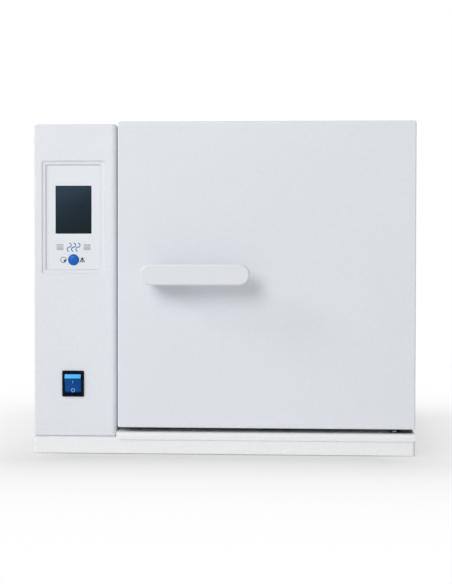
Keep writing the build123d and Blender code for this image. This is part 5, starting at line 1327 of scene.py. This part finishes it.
@dataclass
class Electrics(Assembly):
    """The parts on the tower's partition, the board, and the mains inlet."""

    rear_y: float = 210.0
    middle_x: float = -182.5
    inlet_z: float = 62.0
    inlet_reach: float = 20.5
    fuse_z: float = 96.0
    fuse_reach: float = 14.0
    board_y: float = -144.2
    board_z: float = 285.4
    supply_x: float = -162.7
    supply_y: float = 72.0
    supply_z: float = 92.0
    relay_x: float = -159.7
    relay_y: float = -62.0
    relay_z: float = 175.0
    well_x: float = -143.7
    terminal_y: float = 140.0
    terminal_z: float = 240.0
    terminal_pitch: float = 14.0
    terminal_count: int = 6
    inlet_screw: ScrewSize = (2.7, 1.1, 1.4, 1)
    supply_screw: ScrewSize = (2.6, 1.4, 1.2, 1)
    inlet_flange: float = 3.5
    terminal_screw: Flat = (3.4, 3.0)  # the head's radius and height
    relay_screw: Flat = (3.6, 1.8)
    rating_rise: float = 88.0  # above the inlet
    rating_size: Flat = (56.0, 34.0)
    rating_pitch: float = 5.4
    film: float = 0.12
    rule: Flat = (0.35, 0.03)  # the width and depth of the plate's lines
    cap_radius: float = 6.9
    ribs: int = 24
    pin_pitch: float = 1.5
    way_pitch: float = 3.8  # of the plugs' contacts
    board_relay_xs: Flat = (4.0, 24.0)
    vent_rows: int = 7
    vent_columns: int = 8
    vent_pitch: Flat = (8.0, 7.0)
    chips: tuple[tuple[float, ...], ...] = (  # x, z, width, height and depth
        (0, 18, 12, 12, 1.6), (-18, 26, 8, 5, 1.4), (20, 8, 6, 5, 1.4), (-16, -8, 10, 4, 1.4),
        (6, -4, 5, 4, 1.2), (22, 34, 8, 8, 1.6),
    )
    cans: tuple[tuple[float, ...], ...] = (  # x, z, radius and height
        (-24, -30, 5, 12), (-11, -30, 4, 9), (24, -18, 4, 9), (-24, 48, 3.2, 7),
    )
    plugs: tuple[tuple[float, ...], ...] = ((0, 56, 24), (14, -54, 30), (-20, -54, 16))  # x, z and width

    coats = {
        SUPPLY_CASE: ("power_supply",),
        SINK: ("relay_heatsink",),
        GREY_MOULDING: ("solid_state_relay", "terminal_block"),
        INLET_BLACK: ("mains_inlet", "thermal_cutout"),
        BRIGHT_SCREW: ("inlet_pins",),
        STAINLESS_X: ("vent_tube", "vent_cap"),
    }

    def _rear(self, x: float, z: float, rise: float = 0.0, turn: float = 0.0) -> Matrix:
        """A place on the rear panel, about the tower's middle."""
        return Facing.REAR.at(self.middle_x + x, self.rear_y + rise, z, turn)

    def _board(self, x: float, z: float) -> Matrix:
        """A place on the back of the control board, about its middle."""
        return Facing.REAR.at(self.middle_x + x, self.board_y, self.board_z + z)

    def _supply(self, y: float, z: float, turn: float = 0.0) -> Matrix:
        """A place on the supply's face, about its middle."""
        return Facing.LEFT.at(self.supply_x, self.supply_y + y, self.supply_z + z, turn)

    def _relay(self, y: float, z: float, turn: float = 0.0) -> Matrix:
        """A place on the relay's face, about its middle."""
        return Facing.LEFT.at(self.relay_x, self.relay_y + y, self.relay_z + z, turn)

    def _fuses(self) -> None:
        """Makes the two fuse holders, whose slotted caps have ribbed rims."""
        holder = Shape()
        cap = self.cap_radius
        holder.turned([(0, -22), (4.6, -22), (6, -20.6), (6, 0), (7.5, 0), (7.5, 0.9), (cap, 1.2), (cap, 2.5),
                       (cap - 0.5, 3.0), (0, 3.0)], Matrix.Identity(4), steps=40)
        slot = Shape()
        slot.plate(9.4, 1.5, 2, shift(z=1.9))
        made = cut(holder.to_mesh("fuse_body"), slot.to_mesh("fuse_slot"))
        shape = Shape()
        spots = [self._rear(side * self.fuse_reach, self.fuse_z, turn=side * 12) for side in (-1, 1)]
        shape.copies(made, spots)
        for spot in spots:
            for i in range(self.ribs):
                rib = turn_z(i * 360 / self.ribs) @ shift(cap + 0.05, z=1.2)
                shape.plate(0.5, 0.7, 1.2, spot @ rib)
        shape.piece("slotted_fuse_holders", Body.HOUSING, [INLET_BLACK], ["fuse_holders"])

    def _inlet(self) -> None:
        """Makes the inlet's screws and the plate of electrical ratings, which is left without words."""
        add_screws("inlet_screws", cross_screw(*self.inlet_screw), [
            self._rear(side * self.inlet_reach, self.inlet_z, self.inlet_flange, 25) for side in (-1, 1)])
        shape = Shape()
        middle = self._rear(0, self.inlet_z + self.rating_rise)
        shape.plate(*self.rating_size, self.film, middle, corner=2.5)
        heights = [i * self.rating_pitch for i in (2, 1, 0, -1, -2)]
        for start, end in [((-24, z), (24, z)) for z in heights] + [((-4, 14), (-4, -14))]:
            shape.bar(start, end, *self.rule, middle @ shift(z=self.film), finish=1)
        shape.piece("rating_plate", Body.HOUSING, [LABEL, INK_DARK])

    def _board_parts(self) -> None:
        """Makes the chips, cans, plugs and relays on the back of the control board, with painted shade in the
        plugs' contact openings.
        """
        shape = Shape()
        for x, z, width, height, depth in self.chips:
            spot = self._board(x, z)
            shape.plate(width, height, depth, spot, corner=0.3)
            pins = int(width / 1.6)
            for i in range(pins):
                for side in (-1, 1):
                    pin = shift((i - (pins - 1) / 2) * self.pin_pitch, side * (height / 2 + 0.5))
                    shape.plate(0.6, 1.4, 0.4, spot @ pin, finish=1)
        for x, z, radius, height in self.cans:
            spot = self._board(x, z)
            can = [(0, 0), (radius, 0), (radius, height - 0.6), (radius - 0.6, height), (0, height)]
            shape.turned(can, spot, finish=2, steps=28)
            shape.disc(radius - 0.9, 0.1, spot @ shift(z=height), finish=1, steps=24)
        for x, z, width in self.plugs:
            spot = self._board(x, z)
            shape.plate(width, 7, 8, spot, corner=0.6, finish=3)
            ways = int(width / 4)
            for i in range(ways):
                # Painted shade: a thin black plate stands for each contact's dark opening in the plug.
                shape.plate(2.4, 3.6, 0.1, spot @ shift((i - (ways - 1) / 2) * self.way_pitch, z=8))
        for x in self.board_relay_xs:
            shape.plate(15, 19, 14, self._board(x, -33), corner=0.8, finish=4)
        shape.piece("board_parts", Body.HOUSING, [CHIP_BLACK, BRIGHT_SCREW, CAN_BLUE, LABEL, GREY_MOULDING])

    def _supply_parts(self) -> None:
        """Makes the supply's vents, painted as thin black discs for the shade in the holes, and its screws
        and ratings plate.
        """
        shape = Shape()
        along, up = self.vent_pitch
        for row in range(self.vent_rows):
            for column in range(self.vent_columns):
                # Painted shade: each vent hole is a thin black disc.
                shape.disc(2.0, 0.1, self._supply(column * along - 18, row * up - 12), steps=16)
        shape.plate(40, 12, 0.15, self._supply(0, -28), corner=1, finish=1)
        corners = [self._supply(y, z, 14 * y + z) for y in (-43, 43) for z in (-35, 35)]
        shape.copies(cross_screw(*self.supply_screw), corners, finish=2)
        shape.piece("supply_details", Body.HOUSING, [SWITCH_BLACK, LABEL, BRIGHT_SCREW])

    def _terminals(self) -> None:
        """Makes the terminal block's and the relay's slotted screws, and the relay's lamp."""
        shape = Shape()
        first = self.terminal_y - self.terminal_pitch * (self.terminal_count - 1) / 2
        wells = [Facing.LEFT.at(self.well_x, first + self.terminal_pitch * i, self.terminal_z, turn=37 * i)
                 for i in range(self.terminal_count)]
        shape.copies(slot_screw(*self.terminal_screw), wells)
        ends = [self._relay(y, z, 3 * y + z) for y in (-14, 14) for z in (-22, 22)]
        shape.copies(slot_screw(*self.relay_screw), ends)
        shape.plate(26, 20, 0.15, self._relay(0, 0), corner=1, finish=1)
        shape.disc(1.4, 0.8, self._relay(0, 22), finish=2, steps=20)
        shape.piece("terminal_screws", Body.HOUSING, [BRIGHT_SCREW, LABEL, GASKET])

    def build(self) -> None:
        """Makes the electrical details, from the rear panel inwards."""
        self._fuses()
        self._inlet()
        self._board_parts()
        self._supply_parts()
        self._terminals()


@dataclass
class Screws(Assembly):
    """The rear, door and hinge screws, each with its cross recess."""

    rear_y: float = 210.0
    rear_x: float = 222.0
    rear_zs: tuple[float, ...] = (28.0, 148.6667, 269.3333, 390.0)
    rear_screw: ScrewSize = (3.5, 1.8, 1.9, 8)
    door_y: float = -130.0
    door_places: tuple[Flat, ...] = (
        (-114.5, 44.5), (-114.5, 388.0), (51.3, 44.5), (51.3, 388.0), (218.0, 65.0), (218.0, 350.0),
    )
    door_screw: ScrewSize = (3.2, 1.6, 1.8, 7)
    hinge_z: float = 28.0
    hinge_places: tuple[Flat, ...] = ((206.3, -151.6), (206.3, -126.4))
    hinge_screw: ScrewSize = (3.8, 1.4, 2.0, 3)

    def build(self) -> None:
        """Makes the screws in place of their CAD nodes."""
        places = [(x, z) for x in (-self.rear_x, self.rear_x) for z in self.rear_zs]
        add_screws("rear_cross_screws", cross_screw(*self.rear_screw), [
            Facing.REAR.at(x, self.rear_y, z, turn=17 * i) for i, (x, z) in enumerate(places)],
            replaces=["rear_screws"])
        add_screws("door_cross_screws", cross_screw(*self.door_screw), [
            Facing.REAR.at(x, self.door_y, z, turn=23 * i) for i, (x, z) in enumerate(self.door_places)],
            Body.DOOR, ["door_screws"])
        add_screws("hinge_cross_screws", cross_screw(*self.hinge_screw), [
            Facing.UP.at(x, y, self.hinge_z, turn=31 * i) for i, (x, y) in enumerate(self.hinge_places)],
            replaces=["hinge_screws"])


def main() -> None:
    """Builds the studio and every sub-assembly, in order."""
    logging.basicConfig(level=logging.INFO, format="%(name)s %(message)s")
    Studio().build()
    for kind in (Housing, ControlPanel, PowerSwitch, Door, Handle, Chamber, Electrics, Screws):
        assembly = kind()
        assembly.dress()
        assembly.build()


if __name__ == "__main__":
    main()
